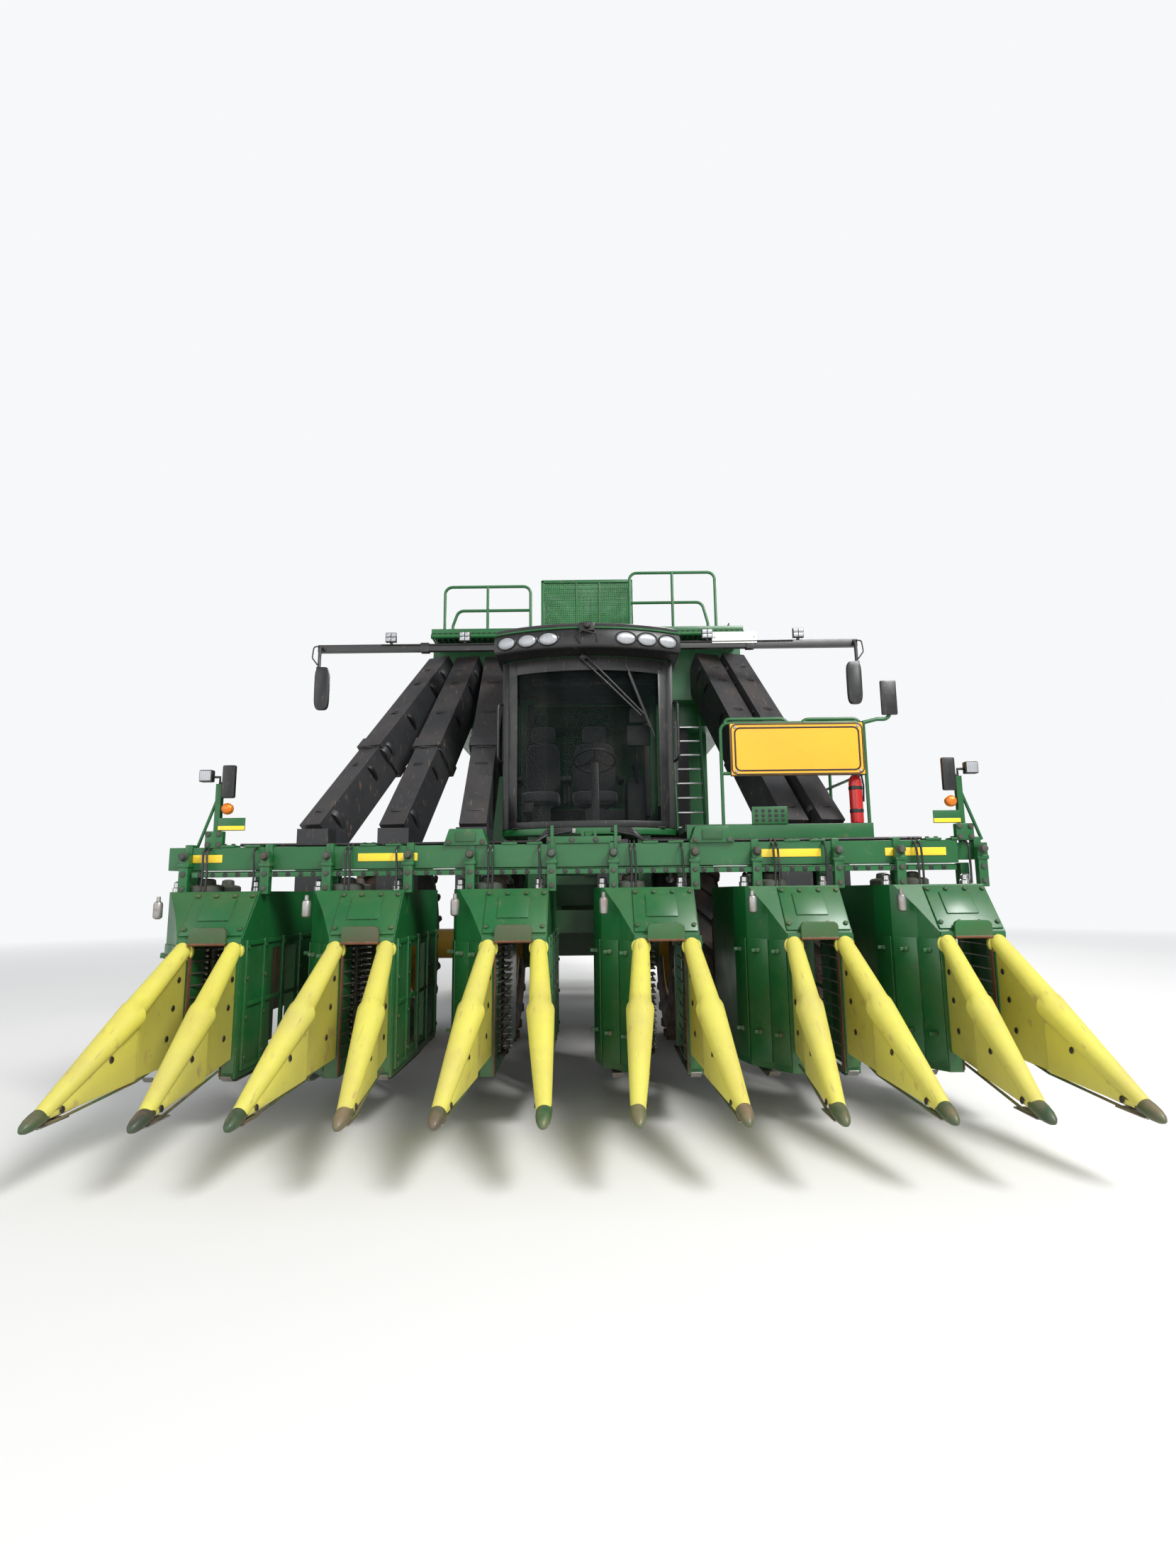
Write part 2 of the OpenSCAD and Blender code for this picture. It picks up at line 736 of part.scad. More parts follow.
module mirror_bar() {
    z = 4000;
    half = right_reach;
    y = -450;
    block([-half, y, z], [half, y + 60, z + 80]);
    both_sides() {
        block([560, y, roof_top], [620, y + 60, z]);
        // Hanging mirror
        block([half - 60, y - 40, z - 180], [half - 20, y, z + 60]);
        block([half - 160, y - 90, z - 640], [half - 10, y - 40, z - 180]);
    }
    for (x = [-2050, -1280, 1250, 2200])
        block([x - 60, y - 60, z + 90], [x + 60, y + 20, z + 200]);
    for (x = [-2050, -1280, 1250, 2200])
        block([x - 15, y, z + 80], [x + 15, y + 20, z + 90]);
}

// One telescopic duct from its hood up to the plenum; the open hood takes the unit's nozzle
module duct(x0, x1) {
    hood_mid = hood_y + duct_d / 2;
    low = [x0, hood_mid, 1980];
    high = [x1, 330, 4010];
    joint = low + 0.42 * (high - low);
    duct_hood(x0, 2060);
    difference() {
        union() {
            bar(low, joint + 0.05 * (high - low), duct_w - 30, duct_d - 30);
            bar(joint, high, duct_w, duct_d);
            bar(joint - 0.02 * (high - low), joint + 0.03 * (high - low), duct_w + 24, duct_d + 24);
        }
        block([x1 - 500, plenum_y, 3000], [x1 + 500, plenum_y + 800, 5000]);
    }
}

module duct_hood(x, top) {
    difference() {
        block([x - duct_w / 2, hood_y, duct_z], [x + duct_w / 2, hood_y + duct_d, top]);
        block([x - duct_w / 2 + 8, hood_y + 8, duct_z - 1],
            [x + duct_w / 2 - 8, hood_y + duct_d - 8, hood_roof]);
    }
}

module suction_ducts() {
    for (d = concat(left_ducts, right_ducts))
        duct(d[0], d[1]);
    // The innermost one passes under the cab and rises behind it
    x = inner_duct_x;
    low = 1670;
    top = cab_z - 60;
    y0 = 750;
    y1 = bay_front - 40;
    duct_hood(x, top);
    block([x - duct_w / 2, hood_y + duct_d, low], [x + duct_w / 2, y1, top]);
    block([x + duct_w / 2, y0, low], [riser_x + duct_w / 2, y1, top]);
    block([riser_x - duct_w / 2, y0, top], [riser_x + duct_w / 2, y1, acc_z]);
}

module accumulator() {
    wall = 40;
    difference() {
        union() {
            block([-acc_x, acc_front, acc_z], [acc_x, acc_rear, acc_top]);
            // Plenum in front, where the ducts come in
            block([-1770, plenum_y, plenum_z], [1750, acc_front, walkway_z - 50]);
        }
        block([-acc_x + wall, acc_front + wall, acc_z + wall], [acc_x - wall, acc_rear - wall, acc_top + 1]);
        block([-acc_x + wall, plenum_y + wall, plenum_z + wall],
            [acc_x - wall, acc_front + 2 * wall, walkway_z - 50 - wall]);
    }
}

module roof_screens() {
    // Curved screens either side of the middle
    arc_r = 240;
    both_sides() {
        difference() {
            union() {
                intersection() {
                    cross_pin(520, acc_x, acc_front + arc_r, acc_top, arc_r);
                    block([520, acc_front, acc_top], [acc_x, acc_front + arc_r, acc_top + arc_r]);
                }
                block([520, acc_front + arc_r, acc_top], [acc_x, acc_rear, acc_top + arc_r]);
            }
            for (i = [0:2])
                translate([540 + i * 380, 0, 0]) {
                    cross_pin(0, 340, acc_front + arc_r, acc_top, arc_r - 20);
                    block([0, acc_front + arc_r, acc_top - 1], [340, acc_rear - 20, acc_top + arc_r - 20]);
                }
        }
    }
    // Raised screen box in the middle
    difference() {
        union() {
            block([-500, box_front, walkway_z], [500, acc_front, box_top]);
            block([-500, acc_front, acc_top], [500, 1900, box_top]);
        }
        block([-480, box_front + 20, walkway_z - 1], [480, 1880, box_top - 20]);
    }
    block([-519, 1900, acc_top], [519, acc_rear, acc_top + 20]);
}

module walkway() {
    z = walkway_z;
    block([-1700, -walkway_front, z - 50], [1700, acc_front, z]);
    for (side = [[-1580, -600, 550], [450, 1430, rail_top - z]]) {
        for (x = [side[0] + 20, (side[0] + side[1]) / 2, side[1] - 20])
            translate([x, -walkway_front + 25, z]) cylinder(h = side[2] - 15, r = 16);
        for (h = [0.5, 1])
            cross_pin(side[0] + 20, side[1] - 20, -walkway_front + 25, z + h * side[2] - 15, 15);
    }
}

module module_chamber() {
    r = chamber_r;
    w = chamber_wall;
    z0 = chamber_z - r;
    z1 = chamber_z + r;
    y0 = chamber_y - r;
    difference() {
        side_plate(-chamber_x, chamber_x, [[y0, z0 + 320], [y0 + 320, z0], [chamber_y, z0], [chamber_y, z1],
            [y0 + 320, z1], [y0, z1 - 320]]);
        side_plate(-chamber_x + w, chamber_x - w, [[y0 + w, z0 + 340], [y0 + 340, z0 + w],
            [chamber_y + 1, z0 + w], [chamber_y + 1, z1 - w], [y0 + 340, z1 - w], [y0 + w, z1 - 340]]);
    }
    // Hinge lugs of the gate
    for (x = [-900, 0, 900])
        difference() {
            block([x - 20, gate_pin[0] - 60, z1], [x + 20, gate_pin[0] + 60, gate_pin[1] + 50]);
            cross_pin(x - 30, x + 30, gate_pin[0], gate_pin[1], gate_pin_r + fit);
        }
    // Cylinder pins on the sides
    both_sides() cross_pin(chamber_x, chamber_x + 110, gate_foot[0], gate_foot[1], gate_pin_r);
}

module rear_gate() {
    w = chamber_wall;
    top = chamber_z + chamber_r;
    difference() {
        intersection() {
            cross_pin(-chamber_x, chamber_x, chamber_y, chamber_z, chamber_r);
            block([-chamber_x, chamber_y + gap, 0], [chamber_x, chamber_y + 2000, 6000]);
        }
        intersection() {
            cross_pin(-chamber_x + w, chamber_x - w, chamber_y, chamber_z, chamber_r - w);
            block([-chamber_x, chamber_y, 0], [chamber_x, chamber_y + 2000, 6000]);
        }
    }
    // Hinge arms and pins
    for (x = [-900, 0, 900]) {
        for (side = [-1, 1])
            translate([x + side * 45 - 15, 0, 0])
                side_plate(0, 30, [[gate_pin[0] - 40, gate_pin[1] - 30],
                    [gate_pin[0] - 40, gate_pin[1] + 45], [chamber_y + 140, top + 60],
                    [chamber_y + 200, top - 60],
                    [chamber_y + 2 * gap, top - 20], [chamber_y + 2 * gap, top + gap]]);
        cross_pin(x - 60, x + 60, gate_pin[0], gate_pin[1], gate_pin_r);
    }
    both_sides() cross_pin(chamber_x, chamber_x + 20, gate_eye[0], gate_eye[1], 60);
}

module gate_barrels() {
    x = chamber_x + 65;
    d = gate_eye - gate_foot;
    a = atan2(d[1], d[0]);
    both_sides()
        difference() {
            translate([x, gate_foot[0], gate_foot[1]]) rotate([a, 0, 0]) {
                rotate([0, 90, 0]) translate([0, 0, -30]) cylinder(h = 60, r = 50);
                rotate([-90, 0, 0]) translate([0, 0, 40]) cylinder(h = 1260, r = 45);
            }
            cross_pin(x - 40, x + 40, gate_foot[0], gate_foot[1], gate_pin_r + fit);
            translate([x, gate_foot[0], gate_foot[1]]) rotate([a, 0, 0])
                rotate([-90, 0, 0]) translate([0, 0, 90]) cylinder(h = 1300, r = gate_rod_r + fit);
        }
}

module gate_rods() {
    x = chamber_x + 65;
    d = gate_eye - gate_foot;
    a = atan2(d[1], d[0]);
    both_sides()
        translate([x, gate_foot[0], gate_foot[1]]) rotate([a, 0, 0]) {
            rotate([-90, 0, 0]) translate([0, 0, 110]) cylinder(h = norm(d) - 150, r = gate_rod_r);
            translate([0, norm(d), 0]) rotate([0, 90, 0]) translate([0, 0, -40]) cylinder(h = 80, r = 50);
        }
}

module module_handler() {
    y = handler_pin[0];
    z = handler_pin[1];
    cross_pin(-590, 590, y, z, 55);
    both_sides() {
        cross_pin(590, 650, y, z, 30);
        for (x = [150, 450])
            block([x - 30, y + 20, z - 40], [x + 30, tail_reach, z + 40]);
    }
    bed_front = y + 0.45 * (tail_reach - y);
    block([-1100, bed_front, z - 35], [1100, bed_front + 80, z + 35]);
    block([-1100, tail_reach - 90, z - 35], [1100, tail_reach, z + 35]);
    both_sides()
        side_plate(1060, 1100, [[bed_front, z + 35], [bed_front + 80, z + 200],
            [tail_reach - 60, z + 200], [tail_reach, z + 35]]);
}

module lift_arms() {
    both_sides()
        difference() {
            union() {
                block([link_x - 40, link_front_y, link_z - 45], [link_x + 40, -link_y, link_z + 45]);
                cross_pin(link_x - 40, link_x + 40, -link_y, link_z, 55);
                cross_pin(link_x - 40, link_x + 40, link_front_y, link_z, 55);
                // Boss for the lift cylinder's rod
                cross_pin(link_x + 40, link_x + 55, lift_eye[0], lift_eye[1], 40);
            }
            cross_pin(link_x - 50, link_x + 50, -link_y, link_z, link_pin + fit);
            cross_pin(link_x - 50, link_x + 50, link_front_y, link_z, link_pin + fit);
        }
    cross_pin(-link_x + 40, link_x - 40, -1850, link_z, 40);
}

module upper_link() {
    difference() {
        union() {
            block([-30, link_front_y, top_link_z - 28], [30, -link_y, top_link_z + 28]);
            cross_pin(-30, 30, -link_y, top_link_z, 38);
            cross_pin(-30, 30, link_front_y, top_link_z, 38);
        }
        cross_pin(-40, 40, -link_y, top_link_z, 18 + fit);
        cross_pin(-40, 40, link_front_y, top_link_z, 18 + fit);
    }
}

module lift_barrels() {
    x = link_x + 95;
    d = lift_eye - lift_foot;
    a = atan2(d[1], d[0]);
    both_sides()
        difference() {
            translate([x, lift_foot[0], lift_foot[1]]) rotate([a, 0, 0]) {
                rotate([0, 90, 0]) translate([0, 0, -30]) cylinder(h = 60, r = 42);
                rotate([-90, 0, 0]) translate([0, 0, 35]) cylinder(h = 345, r = 35);
            }
            cross_pin(x - 40, x + 40, lift_foot[0], lift_foot[1], lift_pin + fit);
            translate([x, lift_foot[0], lift_foot[1]]) rotate([a, 0, 0])
                rotate([-90, 0, 0]) translate([0, 0, 75]) cylinder(h = 400, r = lift_rod_r + fit);
        }
}

module lift_rods() {
    x = link_x + 95;
    d = lift_eye - lift_foot;
    a = atan2(d[1], d[0]);
    both_sides()
        translate([x, lift_foot[0], lift_foot[1]]) rotate([a, 0, 0]) {
            rotate([-90, 0, 0]) translate([0, 0, 190]) cylinder(h = norm(d) - 220, r = lift_rod_r);
            translate([0, norm(d), 0]) rotate([0, 90, 0]) translate([0, 0, -25]) cylinder(h = 50, r = 36);
        }
}

module header_frame() {
    block([-left_reach, bar_y, bar_z0], [2600, bar_y + bar_d, bar_z0 + bar_h]);
    // Hangers down to the units
    for (x = rows_x)
        for (dx = [-340, 130])
            block([x + dx, bar_y + 40, unit_top], [x + dx + 60, bar_y + 120, bar_z0]);
    // Clevises for the lift links
    both_sides() {
        for (dx = [-85, 45])
            block([link_x + dx, bar_y + bar_d, link_z - 50],
                [link_x + dx + 40, link_front_y + 60, bar_z0 + bar_h]);
        cross_pin(link_x - 46, link_x + 46, link_front_y, link_z, link_pin);
    }
    for (side = [-1, 1])
        translate([side * 45 - 10, 0, 0])
            side_plate(0, 20, [[bar_y + 20, bar_z0 + bar_h], [bar_y + bar_d, bar_z0 + bar_h],
                [link_front_y + 30, top_link_z - 60], [link_front_y + 40, top_link_z + 40],
                [bar_y + 20, top_link_z + 40]]);
    cross_pin(-36, 36, link_front_y, top_link_z, 18);
    // End brackets with lamp plates
    block([2600, bar_y + 20, bar_z0 + 20], [right_reach, bar_y + 60, bar_z0 + 140]);
    block([2640, bar_y + 20, bar_z0 + 140], [2680, bar_y + 60, bar_z0 + 620]);
    block([-2680, bar_y + 20, bar_z0 + bar_h], [-2640, bar_y + 60, bar_z0 + 620]);
}

// Plan outline of a unit, from its throat's middle and front face
function unit_plan() = [[-210, 0], [unit_right, 0], [unit_right, unit_l], [-unit_left, unit_l],
    [-unit_left, 420], [-420, 250], [-300, 120]];

module unit() {
    t = throat_w / 2;
    // Head over the throat
    difference() {
        intersection() {
            translate([0, 0, throat_top]) linear_extrude(unit_top - throat_top) polygon(unit_plan());
            side_plate(-unit_left - 10, unit_right + 10, [[0, throat_top], [0, slope_z], [slope_y, unit_top],
                [unit_l, unit_top], [unit_l, throat_top]]);
        }
        block([-unit_left + 20, drum_y + cavity_r + 30, throat_top - 1],
            [-t - 20, unit_l - 20, unit_top - 20]);
    }
    // Cabinet with the drum's hollow
    difference() {
        translate([0, 0, unit_z]) linear_extrude(throat_top - unit_z)
            polygon([[-t, 0], [-210, 0], [-300, 120], [-420, 250], [-unit_left, 420],
                [-unit_left, unit_l], [-t, unit_l]]);
        translate([-drum_x, drum_y, cavity_floor]) cylinder(h = throat_top, r = cavity_r);
        // The cabinet's rear half is open below
        block([-unit_left + 20, drum_y + cavity_r + 30, unit_z - 1], [-t - 20, unit_l - 20, throat_top + 1]);
    }
    // Wall on the other side of the throat, with its window
    difference() {
        block([unit_right - 20, 60, unit_z], [unit_right, unit_l, throat_top]);
        block([unit_right - 30, 480, 430], [unit_right + 10, 900, 1120]);
    }
    block([t, 0, unit_z], [unit_right, 60, throat_top]);
    for (y = [440, 900])
        block([150, y, unit_z], [unit_right - 20, y + 40, throat_top]);
}

module units(first) {
    for (i = [first, first + 1])
        translate([rows_x[i], unit_y, 0]) unit();
}

module unit_nozzles() {
    y0 = unit_y + unit_l;
    for (i = [0:5]) {
        cabinet = rows_x[i] - unit_left;
        block([cabinet + 50, y0, 550], [cabinet + 320, nozzle_rear, 1250]);
        x = nozzles_x[i];
        block([min(x - 100, cabinet + 50), y0 + 100, 1060], [max(x + 100, cabinet + 320), nozzle_rear, 1250]);
        block([x - 100, hood_y + 30, 1060], [x + 100, nozzle_rear, riser_top]);
    }
}

module divider(side) {
    top = [side * divider_top_x, 0, divider_top_z];
    tip = [side * divider_tip_x, -divider_l, divider_tip_z];
    mid = top + 0.42 * (tip - top);
    d = tip - mid;
    lean = atan2(divider_tip_x - divider_top_x, divider_l);
    difference() {
        union() {
            translate(top - 0.1 * (mid - top))
                rotate([0, acos((mid - top)[2] / norm(mid - top)), atan2(d[1], d[0])])
                    cylinder(h = 1.12 * norm(mid - top), r1 = 54, r2 = 72);
            translate(mid)
                rotate([0, acos(d[2] / norm(d)), atan2(d[1], d[0])])
                    cylinder(h = norm(d), r1 = 84, r2 = divider_tip_r);
            // Side skirt
            translate([side * divider_top_x - 22, 0, 0])
                rotate([0, 0, side * lean])
                    side_plate(0, 44, [[40, divider_top_z], [40, 450], [-300, 420], [-1000, 385],
                        [-1010, 430]]);
        }
        block([-600, 0, 0], [600, 500, 2000]);
    }
}

module dividers() {
    for (x = rows_x)
        for (side = [-1, 1])
            translate([x, unit_y, 0]) divider(side);
}

module divider_shoes() {
    for (x = rows_x)
        for (side = [-1, 1]) {
            top = [side * divider_top_x, 0, divider_top_z];
            tip = [side * divider_tip_x, -divider_l, divider_tip_z];
            d = tip - top;
            translate([x, unit_y, 0] + tip)
                rotate([0, acos(d[2] / norm(d)), atan2(d[1], d[0])])
                    cylinder(h = 100, r1 = divider_tip_r, r2 = 14);
        }
}

// Spindle drum: a post, its end plates and rows of spindles
module drum(i) {
    bar_r = 0.62 * drum_r;
    rows = floor((drum_h - 40) / spindle_pitch);
    translate([rows_x[i] - drum_x, unit_y + drum_y, drum_z]) {
        cylinder(h = drum_h, r = bar_r, $fn = drum_bars);
        // Shaft between the cabinet's floor and its roof
        translate([0, 0, cavity_floor + fit - drum_z])
            cylinder(h = throat_top - cavity_floor - 2 * fit, r = 25);
        cylinder(h = 14, r = 0.85 * drum_r);
        translate([0, 0, drum_h - 14]) cylinder(h = 14, r = 0.85 * drum_r);
        for (row = [0:rows - 1])
            translate([0, 0, 40 + row * spindle_pitch - 7]) linear_extrude(14) spindle_star();
    }
}

// One layer of spindles, as a star about the drum's post
module spindle_star() {
    step = 360 / drum_bars;
    half = 7;
    root = 60;
    bar_end = [[root, -half], [drum_r, -half], [drum_r, half], [root, half]];
    polygon([for (k = [0:drum_bars - 1]) for (p = bar_end)
        let (a = (k + 0.5) * step)
        [p[0] * cos(a) - p[1] * sin(a), p[0] * sin(a) + p[1] * cos(a)]]);
}

color("darkgreen") place() main_frame();
color("darkgreen") place() front_axle();
color("darkgreen") place() rear_axle();
color("dimgray") place() engine_block();
color("darkslategray") place() cooling_housing();
color("green") place() engine_bay();
color("black") place() fuel_tank();
color("darkgreen") place() cab_body();
color("black") place() cab_roof();
color("lightblue", 0.4) place() cab_glass();
color("dimgray") place() cab_interior();
color("black") place() cab_door();
color("lightblue", 0.4) place() door_glass();
color("whitesmoke") place() work_lamps();
color("darkgreen") place() platform();
color("green") place() platform_rails();
color("green") place() ladders();
color("orange") place() sign_board();
color("red") place() fire_extinguisher();
color("black") place() mirror_bar();
color("black") place() suction_ducts();
color("green") place() accumulator();
color("seagreen") place() roof_screens();
color("green") place() walkway();
color("green") place() module_chamber();
color("green") place() rear_gate();
color("black") place() gate_barrels();
color("silver") place() gate_rods();
color("green") place() module_handler();
color("black") place() front_tyres();  // front_tyres_left
color("black") place() mirror([1, 0, 0]) front_tyres();  // front_tyres_right
color("gold") place() front_rims();  // front_rims_left
color("gold") place() mirror([1, 0, 0]) front_rims();  // front_rims_right
color("black") place() rear_tyre();  // rear_tyre_left
color("black") place() mirror([1, 0, 0]) rear_tyre();  // rear_tyre_right
color("gold") place() rear_rim();  // rear_rim_left
color("gold") place() mirror([1, 0, 0]) rear_rim();  // rear_rim_right
color("darkgreen") place() knuckle();  // knuckle_left
color("darkgreen") place() mirror([1, 0, 0]) knuckle();  // knuckle_right
color("silver") place() tie_rod();
color("green") place() lift_arms();
color("green") place() upper_link();
color("black") place() lift_barrels();
color("silver") place() lift_rods();
color("green") place() header_frame();
color("green") place() units(0);  // units_left
color("green") place() units(2);  // units_centre
color("green") place() units(4);  // units_right
color("dimgray") place() unit_nozzles();
color("yellow") place() dividers();
color("darkgreen") place() divider_shoes();
color("silver") place() drum(0);  // drum_1
color("silver") place() drum(1);  // drum_2
color("silver") place() drum(2);  // drum_3
color("silver") place() drum(3);  // drum_4
color("silver") place() drum(4);  // drum_5
color("silver") place() drum(5);  // drum_6
color("green") place() shield();  // shield_left
color("green") place() mirror([1, 0, 0]) shield();  // shield_right
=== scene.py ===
"""Looks of a six-row cotton picker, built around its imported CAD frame.

Sizes in the classes are in millimetres, counted as on the machine: x from its middle towards its own left
side, y back from the front axle, z up from the ground. They are turned into the frame's metres once, when a
piece's mesh is made.
"""

import json
import logging
import math
from dataclasses import dataclass
from enum import Enum
from functools import cache
from typing import Optional, Sequence

import bmesh
import bpy
from mathutils import Matrix, Vector

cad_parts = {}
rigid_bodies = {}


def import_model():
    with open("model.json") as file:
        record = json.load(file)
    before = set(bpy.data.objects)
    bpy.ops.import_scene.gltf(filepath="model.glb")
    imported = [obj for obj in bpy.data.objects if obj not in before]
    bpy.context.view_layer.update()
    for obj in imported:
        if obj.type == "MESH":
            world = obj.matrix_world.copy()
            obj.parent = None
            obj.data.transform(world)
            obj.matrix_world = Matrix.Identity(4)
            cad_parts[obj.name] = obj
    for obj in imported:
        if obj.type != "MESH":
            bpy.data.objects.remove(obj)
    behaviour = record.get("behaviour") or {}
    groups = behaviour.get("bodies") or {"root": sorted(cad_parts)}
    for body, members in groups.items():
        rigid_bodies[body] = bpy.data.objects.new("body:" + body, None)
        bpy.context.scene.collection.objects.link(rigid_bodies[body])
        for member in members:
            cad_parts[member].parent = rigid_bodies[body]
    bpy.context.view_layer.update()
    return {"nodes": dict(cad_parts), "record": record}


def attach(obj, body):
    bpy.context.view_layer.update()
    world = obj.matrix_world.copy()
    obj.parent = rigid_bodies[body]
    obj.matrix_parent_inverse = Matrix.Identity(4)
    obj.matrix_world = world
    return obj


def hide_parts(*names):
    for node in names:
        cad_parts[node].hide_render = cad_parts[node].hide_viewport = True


logging.basicConfig(level=logging.INFO, format="%(levelname)s %(message)s")
LOG = logging.getLogger("picker")

Point = tuple[float, float, float]
Pair = tuple[float, float]
Spots = list[tuple[Point, Point]]
Colour = tuple[float, float, float]

MM = 1000
CENTRE_X = 0.075
AXLE_Y = -0.9
ORIGIN: Point = (0.0, 0.0, 0.0)
UP: Point = (0, 0, 1)
FRONT: Point = (0, -1, 0)
SIDES = (-1, 1)
ROWS = tuple((i - 2.5) * 1000.0 for i in range(6))
UNIT_FRONT = -2950.0
DRUM_X = -215.0
DRUM_Y = UNIT_FRONT + 360.0
CORNER_X = -405.0
BAR_FACE = -2650.0
SIGN_FACE = -1617.0
CAB_FLOOR = 2062.0
SHARP_ANGLE = 0.5
BOX_FACES = ((0, 1, 3, 2), (4, 6, 7, 5), (0, 4, 5, 1), (2, 3, 7, 6), (0, 2, 6, 4), (1, 5, 7, 3))
SOCKETS = {float: "NodeSocketFloat", int: "NodeSocketInt", type(None): "NodeSocketVector"}


class Body(str, Enum):
    """CAD bodies that the pieces ride on."""

    CHASSIS = "chassis"
    HEADER = "header"
    GATE = "rear_gate"
    WHEELS_LEFT = "front_wheels_left"
    WHEELS_RIGHT = "front_wheels_right"
    REAR_LEFT = "rear_wheel_left"
    REAR_RIGHT = "rear_wheel_right"
    DRUM_1 = "drum_1"
    DRUM_2 = "drum_2"
    DRUM_3 = "drum_3"
    DRUM_4 = "drum_4"
    DRUM_5 = "drum_5"
    DRUM_6 = "drum_6"


def metres(p: Sequence[float]) -> Vector:
    """A point of the machine in the frame's metres."""
    return Vector((p[0] / MM + CENTRE_X, p[1] / MM + AXLE_Y, p[2] / MM))


def linked(name: str, data: bpy.types.ID) -> bpy.types.Object:
    """A new object of some data, put into the scene."""
    made = bpy.data.objects.new(name, data)
    bpy.context.scene.collection.objects.link(made)
    return made


def add_node(tree: bpy.types.NodeTree, kind: str, inputs: Optional[dict] = None,
             **settings: object) -> bpy.types.Node:
    """Adds a node to a tree.

    Args:
        tree: the tree.
        kind: the node's type.
        inputs: values or sockets by input name or index.
        **settings: attributes to set on the node.

    Returns:
        The new node.
    """
    node = tree.nodes.new(kind)
    for key, value in settings.items():
        setattr(node, key, value)
    for key, value in (inputs or {}).items():
        if isinstance(value, bpy.types.NodeSocket):
            tree.links.new(value, node.inputs[key])
        else:
            node.inputs[key].default_value = value
    return node


# ---- Finishes


class Nodes:
    """Small helper that adds nodes to one material and links them."""

    def __init__(self, name: str) -> None:
        """Starts a material with a Principled shader.

        Args:
            name: the material's name.
        """
        self.material = bpy.data.materials.new(name)
        self.material.use_nodes = True
        self.tree = self.material.node_tree
        self.shader = self.tree.nodes["Principled BSDF"]
        self.object = add_node(self.tree, "ShaderNodeTexCoord").outputs["Object"]

    def add(self, kind: str, inputs: Optional[dict] = None, out: int | str = 0,
            **settings: object) -> bpy.types.NodeSocket:
        """Adds a node, as add_node does, and returns one of its outputs."""
        return add_node(self.tree, kind, inputs, **settings).outputs[out]

    def noise(self, scale: float, detail: float = 4.0, rough: float = 0.55) -> bpy.types.NodeSocket:
        """Noise on object coordinates, from 0 to 1."""
        return self.add("ShaderNodeTexNoise", {"Vector": self.object, "Scale": scale, "Detail": detail,
                                               "Roughness": rough}, "Fac")

    def math(self, operation: str, a: object, b: object = 0.0) -> bpy.types.NodeSocket:
        """One step of arithmetic on two values or sockets."""
        return self.add("ShaderNodeMath", {0: a, 1: b}, operation=operation)

    def times(self, a: object, b: object) -> bpy.types.NodeSocket:
        """The product of two values or sockets."""
        return self.math("MULTIPLY", a, b)

    def ramp(self, value: bpy.types.NodeSocket, low: float, high: float) -> bpy.types.NodeSocket:
        """A value between low and high, spread to 0 to 1 and clamped."""
        return self.add("ShaderNodeMapRange", {"Value": value, "From Min": low, "From Max": high}, "Result")

    def wave(self, scale: float, axis: str) -> bpy.types.NodeSocket:
        """Even bands along one axis, from 0 to 1."""
        inputs = {"Vector": self.object, "Scale": scale}
        return self.add("ShaderNodeTexWave", inputs, "Fac", bands_direction=axis)

    def mix(self, factor: object, a: object, b: object) -> bpy.types.NodeSocket:
        """A blend of two colours."""
        made = {index: colour if isinstance(colour, bpy.types.NodeSocket) else (*colour, 1.0)
                for index, colour in ((6, a), (7, b))}
        return self.add("ShaderNodeMix", {"Factor": factor, **made}, 2, data_type="RGBA")

    def set(self, name: str, value: object) -> None:
        """A value or a socket for an input of the shader."""
        if isinstance(value, bpy.types.NodeSocket):
            self.tree.links.new(value, self.shader.inputs[name])
        else:
            self.shader.inputs[name].default_value = value

    def roughness(self, varied: bpy.types.NodeSocket, gain: float, base: float) -> None:
        """Sets the shader's roughness to a base and a varied share."""
        self.set("Roughness", self.math("ADD", self.times(varied, gain), base))

    def edges(self, radius: float) -> tuple[bpy.types.NodeSocket, bpy.types.NodeSocket]:
        """Rounded normals and a mask that is 1 on sharp edges.

        Args:
            radius: how far an edge is rounded, in metres.

        Returns:
            The rounded normal and the edge mask.
        """
        bevel = self.add("ShaderNodeBevel", {"Radius": radius}, samples=4)
        normal = self.add("ShaderNodeNewGeometry", out="Normal")
        dot = self.add("ShaderNodeVectorMath", {0: bevel, 1: normal}, "Value", operation="DOT_PRODUCT")
        return bevel, self.ramp(dot, 0.985, 0.80)

    def dust(self, amount: float) -> bpy.types.NodeSocket:
        """Dust that lies on upward faces and near the ground, from 0 to amount."""
        up = self.add("ShaderNodeSeparateXYZ", {0: self.add("ShaderNodeNewGeometry", out="Normal")}, "Z")
        low = self.ramp(self.add("ShaderNodeSeparateXYZ", {0: self.object}, "Z"), 1.3, 0.2)
        patchy = self.ramp(self.noise(3.1, 6.0, 0.65), 0.38, 0.72)
        return self.times(self.times(self.math("ADD", self.ramp(up, 0.3, 1.0), low), patchy), amount)

    def bump(self, height: bpy.types.NodeSocket, distance: float, strength: float,
             normal: Optional[bpy.types.NodeSocket] = None) -> None:
        """Relief on the shader's normal, over rounded normals where given."""
        inputs = {"Height": height, "Distance": distance, "Strength": strength}
        if normal is not None:
            inputs["Normal"] = normal
        self.set("Normal", self.add("ShaderNodeBump", inputs, "Normal"))


SOIL = (0.33, 0.19, 0.11)
RUST = (0.16, 0.055, 0.02)


def shade(colour: Colour, share: float) -> Colour:
    """A colour darkened to a share of itself."""
    return tuple(share * c for c in colour)


